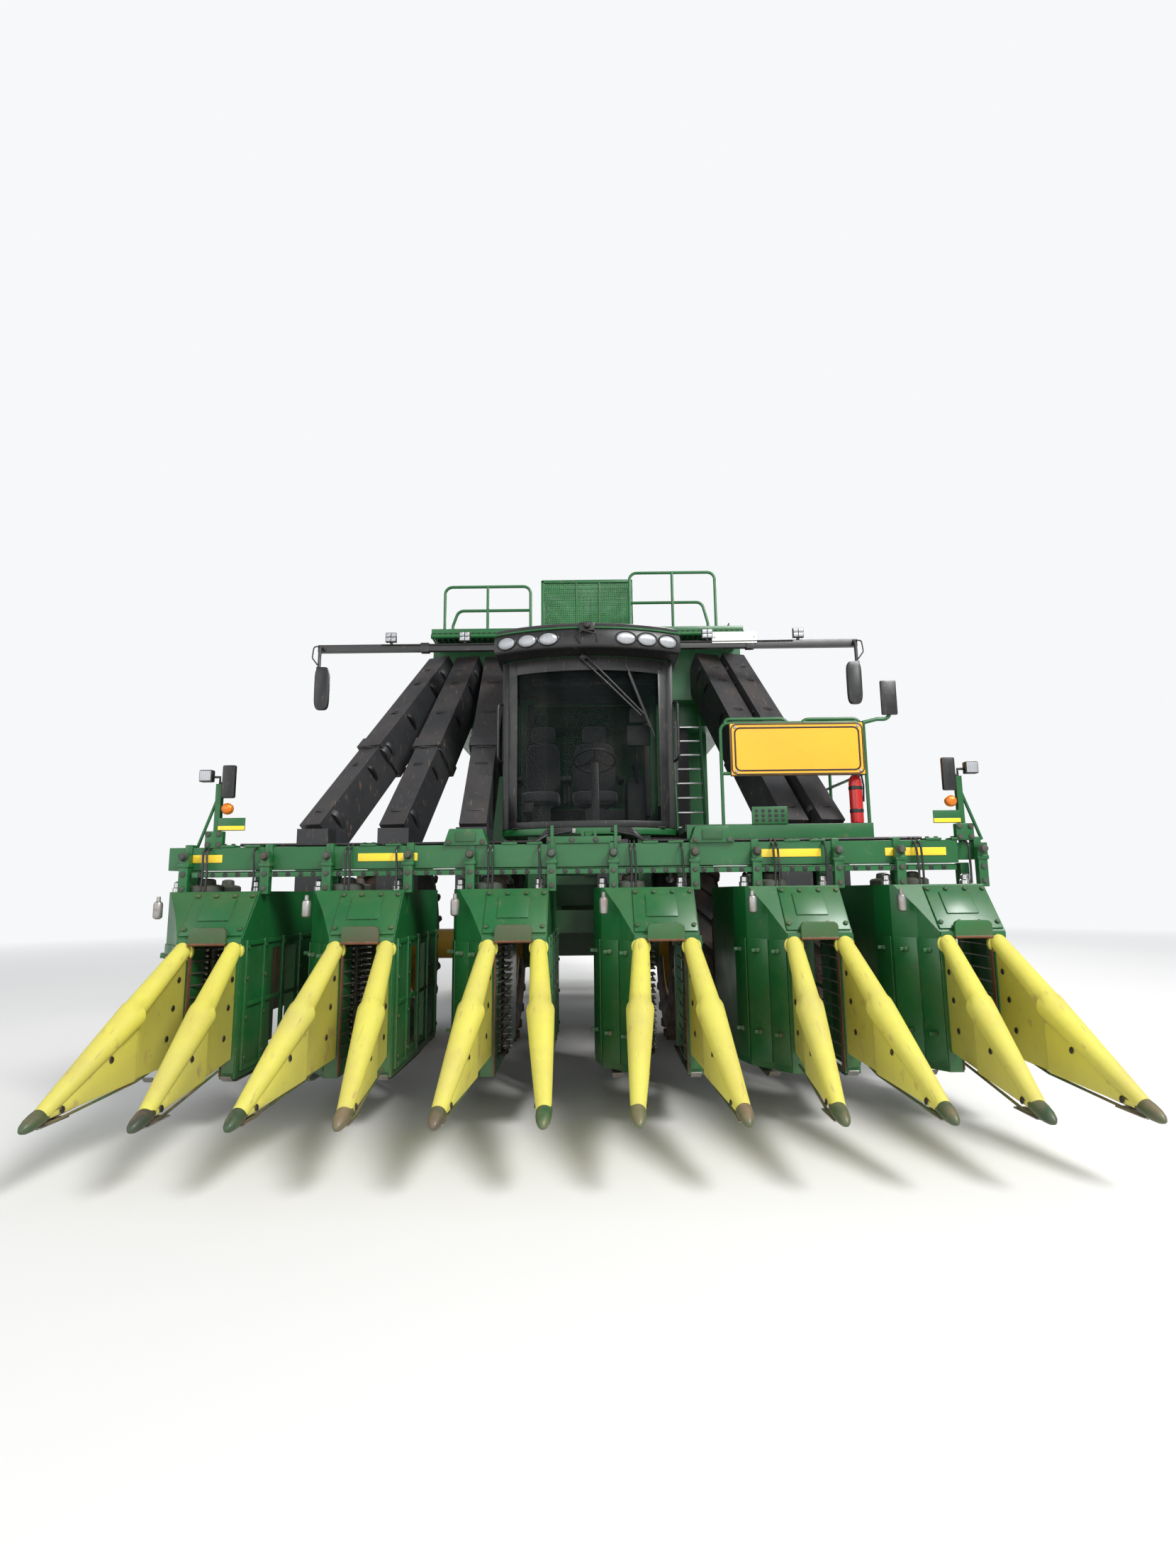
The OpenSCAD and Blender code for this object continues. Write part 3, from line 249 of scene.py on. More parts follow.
@dataclass(frozen=True)
class Paint:
    """Sprayed paint with faded patches, dust and edges worn to steel."""

    name: str
    colour: Colour
    faded: Colour
    wear: float
    dust: float
    rough: float

    def make(self) -> bpy.types.Material:
        """Returns the material."""
        n = Nodes(self.name)
        rounded, edge = n.edges(0.004)
        base = n.mix(n.ramp(n.noise(1.7, 5.0), 0.35, 0.7), self.colour, self.faded)
        streaks = n.ramp(n.noise(9.0, 8.0, 0.7), 0.60, 0.72)
        base = n.mix(n.times(streaks, 0.18), base, SOIL)
        base = n.mix(n.dust(self.dust), base, SOIL)
        chips = n.times(edge, n.ramp(n.noise(28.0, 6.0, 0.7), 0.52, 0.60))
        metal = n.mix(n.ramp(n.noise(40.0), 0.4, 0.6), (0.30, 0.28, 0.26), RUST)
        n.set("Base Color", n.mix(n.times(chips, self.wear), base, metal))
        n.roughness(n.noise(6.0, 6.0), 0.25, self.rough - 0.1)
        n.set("Coat Weight", 0.12)
        n.set("Coat Roughness", 0.2)
        n.bump(n.noise(260.0, 3.0), 0.0008, 0.25, rounded)
        return n.material


@dataclass(frozen=True)
class Plastic:
    """Moulded plastic with a fine grain, scuffs and dust."""

    name: str
    colour: Colour
    scuffed: Colour
    rough: float
    dust: float
    scuffs: float

    def make(self) -> bpy.types.Material:
        """Returns the material."""
        n = Nodes(self.name)
        rounded, edge = n.edges(0.005)
        base = n.mix(n.ramp(n.noise(1.3, 5.0), 0.35, 0.7), self.colour, self.scuffed)
        drawn = n.add("ShaderNodeMapping", {"Vector": n.object, "Scale": (60.0, 9.0, 9.0)})
        scratch = n.add("ShaderNodeTexNoise", {"Vector": drawn, "Scale": 1.0, "Detail": 8.0}, "Fac")
        base = n.mix(n.times(n.ramp(scratch, 0.62, 0.70), self.scuffs), base, SOIL)
        base = n.mix(n.times(edge, 0.25 * self.scuffs), base, SOIL)
        n.set("Base Color", n.mix(n.dust(self.dust), base, SOIL))
        n.roughness(n.noise(11.0), 0.3, self.rough - 0.12)
        n.bump(n.noise(420.0, 2.0), 0.0006, 0.3, rounded)
        return n.material


@dataclass(frozen=True)
class Steel:
    """Bare or cast metal with worn and rusty patches."""

    name: str
    colour: Colour
    rust: float
    rough: float
    metallic: float = 0.9

    def make(self) -> bpy.types.Material:
        """Returns the material."""
        n = Nodes(self.name)
        rounded, _ = n.edges(0.002)
        spots = n.times(n.ramp(n.noise(14.0, 8.0, 0.7), 0.48, 0.66), self.rust)
        base = n.mix(n.ramp(n.noise(5.0), 0.3, 0.7), self.colour, shade(self.colour, 0.6))
        n.set("Base Color", n.mix(n.dust(0.25), n.mix(spots, base, RUST), SOIL))
        n.set("Metallic", n.times(n.math("SUBTRACT", 1.0, spots), self.metallic))
        n.roughness(n.noise(20.0, 6.0), 0.35, self.rough - 0.1)
        n.bump(n.noise(90.0, 5.0), 0.0012, 0.35, rounded)
        return n.material


@dataclass(frozen=True)
class Rubber:
    """Tyre rubber with soil in its tread and a bloom on its walls."""

    name: str

    def make(self) -> bpy.types.Material:
        """Returns the material."""
        n = Nodes(self.name)
        rounded, edge = n.edges(0.006)
        base = n.mix(n.ramp(n.noise(4.0, 6.0), 0.3, 0.75), (0.018, 0.018, 0.018), (0.05, 0.045, 0.04))
        n.set("Base Color", n.mix(n.dust(0.75), n.mix(n.times(edge, 0.25), base, SOIL), SOIL))
        n.roughness(n.noise(18.0), 0.25, 0.62)
        n.bump(n.noise(120.0, 5.0), 0.0015, 0.5, rounded)
        return n.material


@dataclass(frozen=True)
class Glazing:
    """Dark tinted safety glass with a film of dust."""

    name: str
    tint: Colour
    density: float

    def make(self) -> bpy.types.Material:
        """Returns the material."""
        n = Nodes(self.name)
        film = n.times(n.ramp(n.noise(2.2, 7.0, 0.65), 0.50, 0.90), 0.12)
        n.set("Base Color", n.mix(film, self.tint, (0.42, 0.36, 0.30)))
        n.roughness(film, 0.5, 0.03)
        n.set("Alpha", n.math("ADD", film, self.density))
        n.set("Specular IOR Level", 0.10)
        return n.material


@dataclass(frozen=True)
class Lens:
    """Moulded lens over a bright reflector, with fluting."""

    name: str
    colour: Colour
    flutes: float = 260.0

    def make(self) -> bpy.types.Material:
        """Returns the material."""
        n = Nodes(self.name)
        wave = n.wave(self.flutes / 6.3, "X")
        n.set("Base Color", n.mix(n.ramp(wave, 0.2, 0.8), self.colour, shade(self.colour, 0.55)))
        n.roughness(n.noise(30.0), 0.1, 0.25)
        n.set("Coat Weight", 0.15)
        n.set("Metallic", 0.35)
        n.bump(wave, 0.002, 0.4)
        return n.material


@dataclass(frozen=True)
class Cloth:
    """Woven seat cloth."""

    name: str
    colour: Colour

    def make(self) -> bpy.types.Material:
        """Returns the material."""
        n = Nodes(self.name)
        weave = n.times(n.wave(90.0, "X"), n.wave(90.0, "Z"))
        n.set("Base Color", n.mix(weave, shade(self.colour, 0.5), self.colour))
        n.roughness(weave, 0.1, 0.85)
        n.set("Sheen Weight", 0.4)
        n.bump(weave, 0.001, 0.6)
        return n.material


@dataclass(frozen=True)
class Screen:
    """Painted sheet or wire screen with rows of small holes that light passes through."""

    name: str
    colour: Colour
    pitch: float = 0.022
    open_share: float = 0.33

    def make(self) -> bpy.types.Material:
        """Returns the material."""
        n = Nodes(self.name)
        split = add_node(n.tree, "ShaderNodeSeparateXYZ", {0: n.object}).outputs
        normal = n.add("ShaderNodeNewGeometry", out="Normal")
        facing = add_node(n.tree, "ShaderNodeSeparateXYZ", {0: normal}).outputs
        solid: Optional[bpy.types.NodeSocket] = None
        for axis, shift in (("X", 0.0), ("Y", 0.3), ("Z", 0.1)):
            cell = n.math("FRACT", n.math("ADD", n.math("DIVIDE", split[axis], self.pitch), shift))
            bar = n.ramp(n.math("ABSOLUTE", n.math("SUBTRACT", cell, 0.5)), self.open_share,
                         self.open_share + 0.04)
            kept = n.times(bar, n.math("LESS_THAN", n.math("ABSOLUTE", facing[axis]), 0.75))
            solid = kept if solid is None else n.math("MAXIMUM", solid, kept)
        base = n.mix(n.ramp(n.noise(3.0, 6.0), 0.35, 0.7), self.colour, shade(self.colour, 0.6))
        n.set("Base Color", n.mix(n.dust(0.3), base, SOIL))
        n.roughness(n.noise(12.0), 0.2, 0.4)
        n.set("Alpha", n.math("MAXIMUM", solid, 0.25))
        return n.material


class Finish(Enum):
    """The finishes of the machine."""

    GREEN = Paint("green_enamel", (0.004, 0.085, 0.018), (0.008, 0.110, 0.026), 0.8, 0.20, 0.36)
    DARK_GREEN = Paint("chassis_enamel", (0.006, 0.060, 0.014), (0.012, 0.080, 0.020), 0.6, 0.55, 0.45)
    YELLOW_PAINT = Paint("rim_enamel", (0.80, 0.50, 0.015), (0.66, 0.42, 0.03), 0.5, 0.5, 0.4)
    BLACK_PAINT = Paint("black_enamel", (0.012, 0.012, 0.013), (0.028, 0.027, 0.026), 0.3, 0.35, 0.42)
    RED_PAINT = Paint("bottle_enamel", (0.52, 0.012, 0.010), (0.42, 0.015, 0.012), 0.2, 0.2, 0.25)
    AMBER_SHEET = Paint("board_enamel", (0.90, 0.40, 0.008), (0.82, 0.36, 0.012), 0.2, 0.12, 0.35)
    SHOE = Paint("shoe_enamel", (0.010, 0.090, 0.020), (0.035, 0.028, 0.022), 0.9, 0.45, 0.5)
    WORN_GREEN = Paint("worn_enamel", (0.010, 0.105, 0.020), (0.075, 0.040, 0.025), 1.0, 0.4, 0.45)
    STRIP = Paint("reflective_strip", (0.83, 0.58, 0.02), (0.72, 0.50, 0.03), 0.4, 0.15, 0.3)
    YELLOW_PLASTIC = Plastic("divider_moulding", (0.60, 0.55, 0.075), (0.53, 0.49, 0.10), 0.5, 0.25, 0.45)
    DUCT_PLASTIC = Plastic("duct_moulding", (0.017, 0.018, 0.020), (0.034, 0.034, 0.035), 0.46, 0.14, 0.25)
    BLACK_PLASTIC = Plastic("black_moulding", (0.007, 0.007, 0.008), (0.013, 0.013, 0.013), 0.36, 0.10, 0.2)
    WHITE_PLASTIC = Plastic("plate_blank", (0.72, 0.72, 0.70), (0.62, 0.61, 0.58), 0.35, 0.1, 0.2)
    STEEL = Steel("worn_steel", (0.42, 0.41, 0.39), 0.55, 0.38)
    BRIGHT = Steel("bright_steel", (0.62, 0.62, 0.61), 0.10, 0.22)
    CHROME = Steel("chrome_plate", (0.75, 0.75, 0.76), 0.03, 0.12, 1.0)
    RUSTY = Steel("rusty_iron", (0.16, 0.07, 0.035), 0.9, 0.7, 0.3)
    CAST = Steel("cast_iron", (0.09, 0.11, 0.09), 0.35, 0.6, 0.6)
    MIRROR = Steel("mirror_glass", (0.80, 0.82, 0.84), 0.0, 0.12, 1.0)
    RUBBER = Rubber("tyre_tread")
    GLASS = Glazing("tinted_glass", (0.006, 0.009, 0.009), 0.24)
    CLEAR_LENS = Lens("fluted_glass", (0.45, 0.46, 0.48))
    AMBER_LENS = Lens("amber_lens", (0.85, 0.22, 0.01))
    RED_LENS = Lens("red_lens", (0.55, 0.01, 0.01))
    SEAT = Cloth("woven_cloth", (0.075, 0.078, 0.085))
    MESH_GREEN = Screen("green_screen", (0.012, 0.15, 0.030))
    MESH_DARK = Screen("perforated_floor", (0.010, 0.055, 0.016), 0.060, 0.22)

    def material(self) -> bpy.types.Material:
        """The finish's material, made on its first use."""
        return bpy.data.materials.get(self.value.name) or self.value.make()


# ---- Mesh making


def around(count: int, shift: float = 0.0, extra: int = 0) -> list[tuple[float, float]]:
    """Cosine and sine of equal steps round a circle.

    Args:
        count: steps in the whole circle.
        shift: share of a step that the first is moved on by.
        extra: steps past the whole circle.

    Returns:
        One pair for each step.
    """
    angles = [2 * math.pi * (k + shift) / count for k in range(count + extra)]
    return [(math.cos(a), math.sin(a)) for a in angles]


def squared(value: float, power: float = 0.5) -> float:
    """A cosine or sine pushed outwards, so that a circle turns into a rounded square."""
    return math.copysign(abs(value) ** power, value)


class Shape:
    """A mesh under construction in the machine's millimetres, with a finish for each face."""

    def __init__(self, name: str, finish: Finish) -> None:
        """Starts an empty shape.

        Args:
            name: the finished object's name.
            finish: the finish of every form that isn't given its own.
        """
        self.name = name
        self.finish = finish
        self.mesh = bmesh.new()
        self.finishes: list[Finish] = []

    def _close(self, faces: list[bmesh.types.BMFace], finish: Optional[Finish], bevel: float = 0.0) -> None:
        """Gives one closed form its finish, turns it outwards and rounds its edges by bevel."""
        finish = finish or self.finish
        bmesh.ops.recalc_face_normals(self.mesh, faces=faces)
        if finish not in self.finishes:
            self.finishes.append(finish)
        for face in faces:
            face.material_index = self.finishes.index(finish)
        if bevel > 0:
            edges = {e for face in faces for e in face.edges if e.calc_face_angle(0.0) > SHARP_ANGLE}
            bmesh.ops.bevel(self.mesh, geom=list(edges), offset=bevel, segments=2, affect="EDGES",
                            profile=0.6, clamp_overlap=True, material=-1)

    def boxes(self, *rows: Sequence[float], at: Point = ORIGIN, side: int = 1,
              finish: Optional[Finish] = None) -> None:
        """Adds blocks with rounded edges.

        Args:
            *rows: each block's low x, y, z, its high x, y, z and the width of its rounding.
            at: the point that they are counted from.
            side: -1 to mirror them left to right about that point.
            finish: their finish.
        """
        for x0, y0, z0, x1, y1, z1, bevel in rows:
            v = [self.mesh.verts.new((at[0] + x, at[1] + y, at[2] + z))
                 for x in sorted((side * x0, side * x1)) for y in (y0, y1) for z in (z0, z1)]
            self._close([self.mesh.faces.new([v[i] for i in f]) for f in BOX_FACES], finish, bevel)

    def prism(self, outline: Sequence[Pair], axis: str, low: float, high: float, bevel: float = 2.0,
              finish: Optional[Finish] = None) -> None:
        """Adds an outline that is extruded along one axis.

        Args:
            outline: points in the plane across the axis, the other two axes in order.
            axis: "x" or "y".
            low: start along the axis.
            high: end along the axis.
            bevel: width of its edge rounding.
            finish: its finish.
        """
        self.loft([[(h, a, b) if axis == "x" else (a, h, b) for a, b in outline] for h in (low, high)],
                  bevel, finish)

    def loft(self, rings: Sequence[Sequence[Point]], bevel: float = 0.0,
             finish: Optional[Finish] = None) -> None:
        """Adds a closed skin over rings of equal length, with both ends shut.

        Args:
            rings: the rings in order.
            bevel: width of its edge rounding.
            finish: its finish.
        """
        rows = [[self.mesh.verts.new(p) for p in ring] for ring in rings]
        faces = [self.mesh.faces.new((a[i - 1], a[i], b[i], b[i - 1]))
                 for a, b in zip(rows, rows[1:]) for i in (*range(1, len(a)), 0)]
        faces += [self.mesh.faces.new(rows[0]), self.mesh.faces.new(rows[-1][::-1])]
        self._close(faces, finish, bevel)

    def tube(self, points: Sequence[Point], radius: float | Sequence[float], sides: int = 12,
             finish: Optional[Finish] = None) -> None:
        """Adds a round tube along a path.

        Args:
            points: the path.
            radius: one radius, or one for each point.
            sides: facets round the tube.
            finish: its finish.
        """
        path = [Vector(p) for p in points]
        radii = [radius] * len(path) if isinstance(radius, (int, float)) else radius
        rings: list[list[Vector]] = []
        side = (path[1] - path[0]).normalized().orthogonal().normalized()
        for i, point in enumerate(path):
            ahead = (path[min(i + 1, len(path) - 1)] - path[max(i - 1, 0)]).normalized()
            side = (side - ahead * side.dot(ahead)).normalized()
            up = ahead.cross(side)
            rings.append([point + (side * c + up * s) * radii[i] for c, s in around(sides)])
        self.loft(rings, 0.0, finish)

    def lathe(self, profile: Sequence[Pair], origin: Point, along: Point = UP, sides: int = 32,
              finish: Optional[Finish] = None) -> None:
        """Adds a turned form.

        Args:
            profile: (radius, distance along the axis) points from one end to the other.
            origin: where the distance is 0.
            along: direction of the axis.
            sides: facets round it.
            finish: its finish.
        """
        axis = Vector(along).normalized()
        side = axis.orthogonal().normalized()
        up = axis.cross(side)
        self.loft([[Vector(origin) + axis * h + (side * c + up * s) * max(r, 0.5) for c, s in around(sides)]
                   for r, h in profile], 0.0, finish)

    def sheet(self, rows: Sequence[Sequence[Point]], thick: float) -> None:
        """Adds a sheet through rows of points of equal length, with a thickness along its normal."""
        front = [[Vector(p) for p in row] for row in rows]
        last, end = len(front) - 1, len(front[0]) - 1
        back = [[p + (front[min(i + 1, last)][j] - front[max(i - 1, 0)][j]).cross(
            row[min(j + 1, end)] - row[max(j - 1, 0)]).normalized() * thick for j, p in enumerate(row)]
            for i, row in enumerate(front)]
        grids = [[[self.mesh.verts.new(p) for p in row] for row in grid] for grid in (front, back)]
        faces = [self.mesh.faces.new((g[i][j], g[i + 1][j], g[i + 1][j + 1], g[i][j + 1]))
                 for i in range(last) for j in range(end) for g in grids]
        rim = [(0, j) for j in range(end + 1)] + [(i, end) for i in range(1, last + 1)]
        rim += [(last, j) for j in range(end - 1, -1, -1)] + [(i, 0) for i in range(last - 1, 0, -1)]
        faces += [self.mesh.faces.new((grids[0][a][b], grids[0][c][d], grids[1][c][d], grids[1][a][b]))
                  for (a, b), (c, d) in zip(rim, rim[1:] + rim[:1])]
        self._close(faces, None)

    def done(self, body: Body = Body.CHASSIS, replaces: Sequence[str] = (), slot: str = "",
             smooth: float = 38.0) -> bpy.types.Object:
        """Makes the object, hangs it on its body and reports it.

        Args:
            body: CAD body that it rides on.
            replaces: CAD nodes that it stands for.
            slot: a material slot of the record; not used.
            smooth: edges sharper than this many degrees stay sharp.

        Returns:
            The finished object.
        """
        for vert in self.mesh.verts:
            vert.co = metres(vert.co)
        data = bpy.data.meshes.new(self.name)
        self.mesh.to_mesh(data)
        self.mesh.free()
        for finish in self.finishes:
            data.materials.append(finish.material())
        return hang(self.name, data, body, replaces, smooth)


def hang(name: str, data: bpy.types.Mesh, body: Body, replaces: Sequence[str] = (),
         smooth: float = 38.0) -> bpy.types.Object:
    """Makes an object of a mesh in the frame's metres and hangs it on its body.

    Args:
        name: the object's name.
        data: its mesh.
        body: CAD body that it rides on.
        replaces: CAD nodes that it stands for.
        smooth: edges sharper than this many degrees stay sharp.

    Returns:
        The object.
    """
    made = linked(name, data)
    data.polygons.foreach_set("use_smooth", [True] * len(data.polygons))
    data.set_sharp_from_angle(angle=math.radians(smooth))
    if replaces:
        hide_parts(*replaces)
    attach(made, body.value)
    LOG.info("%s: %d faces on %s", name, len(data.polygons), body.value)
    return made


# ---- Geometry Nodes


class Tree:
    """A Geometry Nodes tree with named inputs that ends in Realize Instances and Set Material."""

    def __init__(self, name: str, **inputs: object) -> None:
        """Starts the tree.

        Args:
            name: the tree's name.
            **inputs: each input's default: a number, a whole number, or None for a vector.
        """
        self.tree = bpy.data.node_groups.new(name, "GeometryNodeTree")
        face = self.tree.interface
        face.new_socket("Geometry", in_out="INPUT", socket_type="NodeSocketGeometry")
        self.ids: dict[str, str] = {}
        for label, default in inputs.items():
            socket = face.new_socket(label, in_out="INPUT", socket_type=SOCKETS[type(default)])
            if default is not None:
                socket.default_value = default
            self.ids[label] = socket.identifier
        finish = face.new_socket("Finish", in_out="INPUT", socket_type="NodeSocketMaterial")
        self.ids["Finish"] = finish.identifier
        face.new_socket("Geometry", in_out="OUTPUT", socket_type="NodeSocketGeometry")
        self.given = self.tree.nodes.new("NodeGroupInput").outputs

    def add(self, kind: str, inputs: Optional[dict] = None, **settings: object) -> bpy.types.NodeSocket:
        """Adds a node, as add_node does, and returns its first output."""
        return add_node(self.tree, kind, inputs, **settings).outputs[0]

    def close(self, geometry: bpy.types.NodeSocket) -> "Tree":
        """Ends the tree with real geometry in its finish."""
        real = self.add("GeometryNodeRealizeInstances", {"Geometry": geometry})
        dressed = self.add("GeometryNodeSetMaterial", {"Geometry": real, "Material": self.given["Finish"]})
        add_node(self.tree, "NodeGroupOutput", {0: dressed})
        return self

    def run(self, base: bpy.types.Mesh, finish: Finish, **values: object) -> bpy.types.Mesh:
        """Runs the tree on a mesh and returns the plain result.

        Args:
            base: the mesh that the tree starts from.
            finish: the result's finish.
            **values: the tree's inputs.

        Returns:
            The result as a mesh.
        """
        holder = linked("tree_holder", base)
        modifier = holder.modifiers.new("tree", "NODES")
        modifier.node_group = self.tree
        for label, value in {**values, "Finish": finish.material()}.items():
            modifier[self.ids[label]] = value
        graph = bpy.context.evaluated_depsgraph_get()
        graph.update()
        result = bpy.data.meshes.new_from_object(holder.evaluated_get(graph))
        if not result.materials:
            result.materials.append(finish.material())
        bpy.data.objects.remove(holder)
        return result


@cache
def stud_tree() -> Tree:
    """A screw head with its washer on each point, standing along the point's own axis."""
    tree = Tree("screw_heads", Radius=0.008, Height=0.006, Sides=6)
    given = tree.given
    head = tree.add("GeometryNodeMeshCylinder", {"Vertices": given["Sides"], "Radius": given["Radius"],
                                                 "Depth": given["Height"]})
    rims = {label: tree.add("ShaderNodeMath", {0: given["Radius"], 1: share}, operation="MULTIPLY")
            for label, share in (("Radius Bottom", 1.5), ("Radius Top", 1.3))}
    washer = tree.add("GeometryNodeMeshCone", {"Vertices": 12, "Depth": 0.002, **rims})
    whole = add_node(tree.tree, "GeometryNodeJoinGeometry")
    for part in (head, washer):
        tree.tree.links.new(part, whole.inputs[0])
    axis = tree.add("GeometryNodeInputNamedAttribute", {"Name": "axis"}, data_type="FLOAT_VECTOR")
    turned = tree.add("FunctionNodeAlignRotationToVector", {"Vector": axis}, axis="Z")
    return tree.close(tree.add("GeometryNodeInstanceOnPoints", {
        "Points": given["Geometry"], "Instance": whole.outputs[0], "Rotation": turned}))


@cache
def pipe_tree() -> Tree:
    """Round pipe along lines of edges, with its corners bent to a radius."""
    tree = Tree("pipe_runs", Radius=0.016, Bend=0.06, Sides=12)
    given = tree.given
    curve = tree.add("GeometryNodeMeshToCurve", {"Mesh": given["Geometry"]})
    bent = tree.add("GeometryNodeFilletCurve", {"Curve": curve, "Radius": given["Bend"], "Count": 5,
                                                "Limit Radius": True}, mode="POLY")
    ring = tree.add("GeometryNodeCurvePrimitiveCircle", {"Resolution": given["Sides"],
                                                         "Radius": given["Radius"]})
    return tree.close(tree.add("GeometryNodeCurveToMesh", {"Curve": bent, "Profile Curve": ring,
                                                           "Fill Caps": True}))


@cache
def bar_tree() -> Tree:
    """A row of like blocks, from a first one by equal steps."""
    tree = Tree("bar_rows", Count=5, First=None, Step=None, Size=None)
    given = tree.given
    line = tree.add("GeometryNodeMeshLine", {"Count": given["Count"], "Start Location": given["First"],
                                             "Offset": given["Step"]}, mode="OFFSET")
    block = tree.add("GeometryNodeMeshCube", {"Size": given["Size"]})
    return tree.close(tree.add("GeometryNodeInstanceOnPoints", {"Points": line, "Instance": block}))


def studs(name: str, places: Spots, radius: float, height: float, finish: Finish = Finish.STEEL,
          body: Body = Body.CHASSIS, sides: int = 6) -> None:
    """Screw heads or rivets at many places.

    Args:
        name: the object's name.
        places: (place, outward direction) pairs.
        radius: head's radius in mm.
        height: head's height in mm.
        finish: their finish.
        body: CAD body that they ride on.
        sides: 6 for a hexagon, more for a round head.
    """
    base = bpy.data.meshes.new(name + "_points")
    base.from_pydata([metres(p) + Vector(d).normalized() * (height / 2 / MM) for p, d in places], [], [])
    axis = base.attributes.new("axis", "FLOAT_VECTOR", "POINT")
    axis.data.foreach_set("vector", [c for _, d in places for c in d])
    hang(name, stud_tree().run(base, finish, Radius=radius / MM, Height=height / MM, Sides=sides), body)


def pipes(name: str, runs: Sequence[Sequence[Point]], radius: float, finish: Finish,
          body: Body = Body.CHASSIS, bend: float = 60.0, replaces: Sequence[str] = (),
          sides: int = 12) -> None:
    """Pipes, rails or hoses with bent corners.

    Args:
        name: the object's name.
        runs: the corner points of each run.
        radius: pipe's radius in mm.
        finish: their finish.
        body: CAD body that they ride on.
        bend: radius of the bends in mm.
        replaces: CAD nodes that they stand for.
        sides: facets round a pipe.
    """
    points: list[Vector] = []
    edges: list[tuple[int, int]] = []
    for run in runs:
        edges += [(len(points) + i, len(points) + i + 1) for i in range(len(run) - 1)]
        points += [metres(p) for p in run]
    base = bpy.data.meshes.new(name + "_lines")
    base.from_pydata(points, edges, [])
    data = pipe_tree().run(base, finish, Radius=radius / MM, Bend=bend / MM, Sides=sides)
    hang(name, data, body, replaces)


def bars(name: str, first: Point, step: Point, count: int, size: Point, finish: Finish) -> None:
    """A row of like bars on the chassis.

    Args:
        name: the object's name.
        first: middle of the first bar.
        step: distance from one to the next.
        count: how many.
        size: size of one bar.
        finish: their finish.
    """
    data = bar_tree().run(bpy.data.meshes.new(name + "_base"), finish, Count=count, First=metres(first),
                          Step=Vector(step) / MM, Size=Vector(size) / MM)
    hang(name, data, Body.CHASSIS)


# ---- Picking head


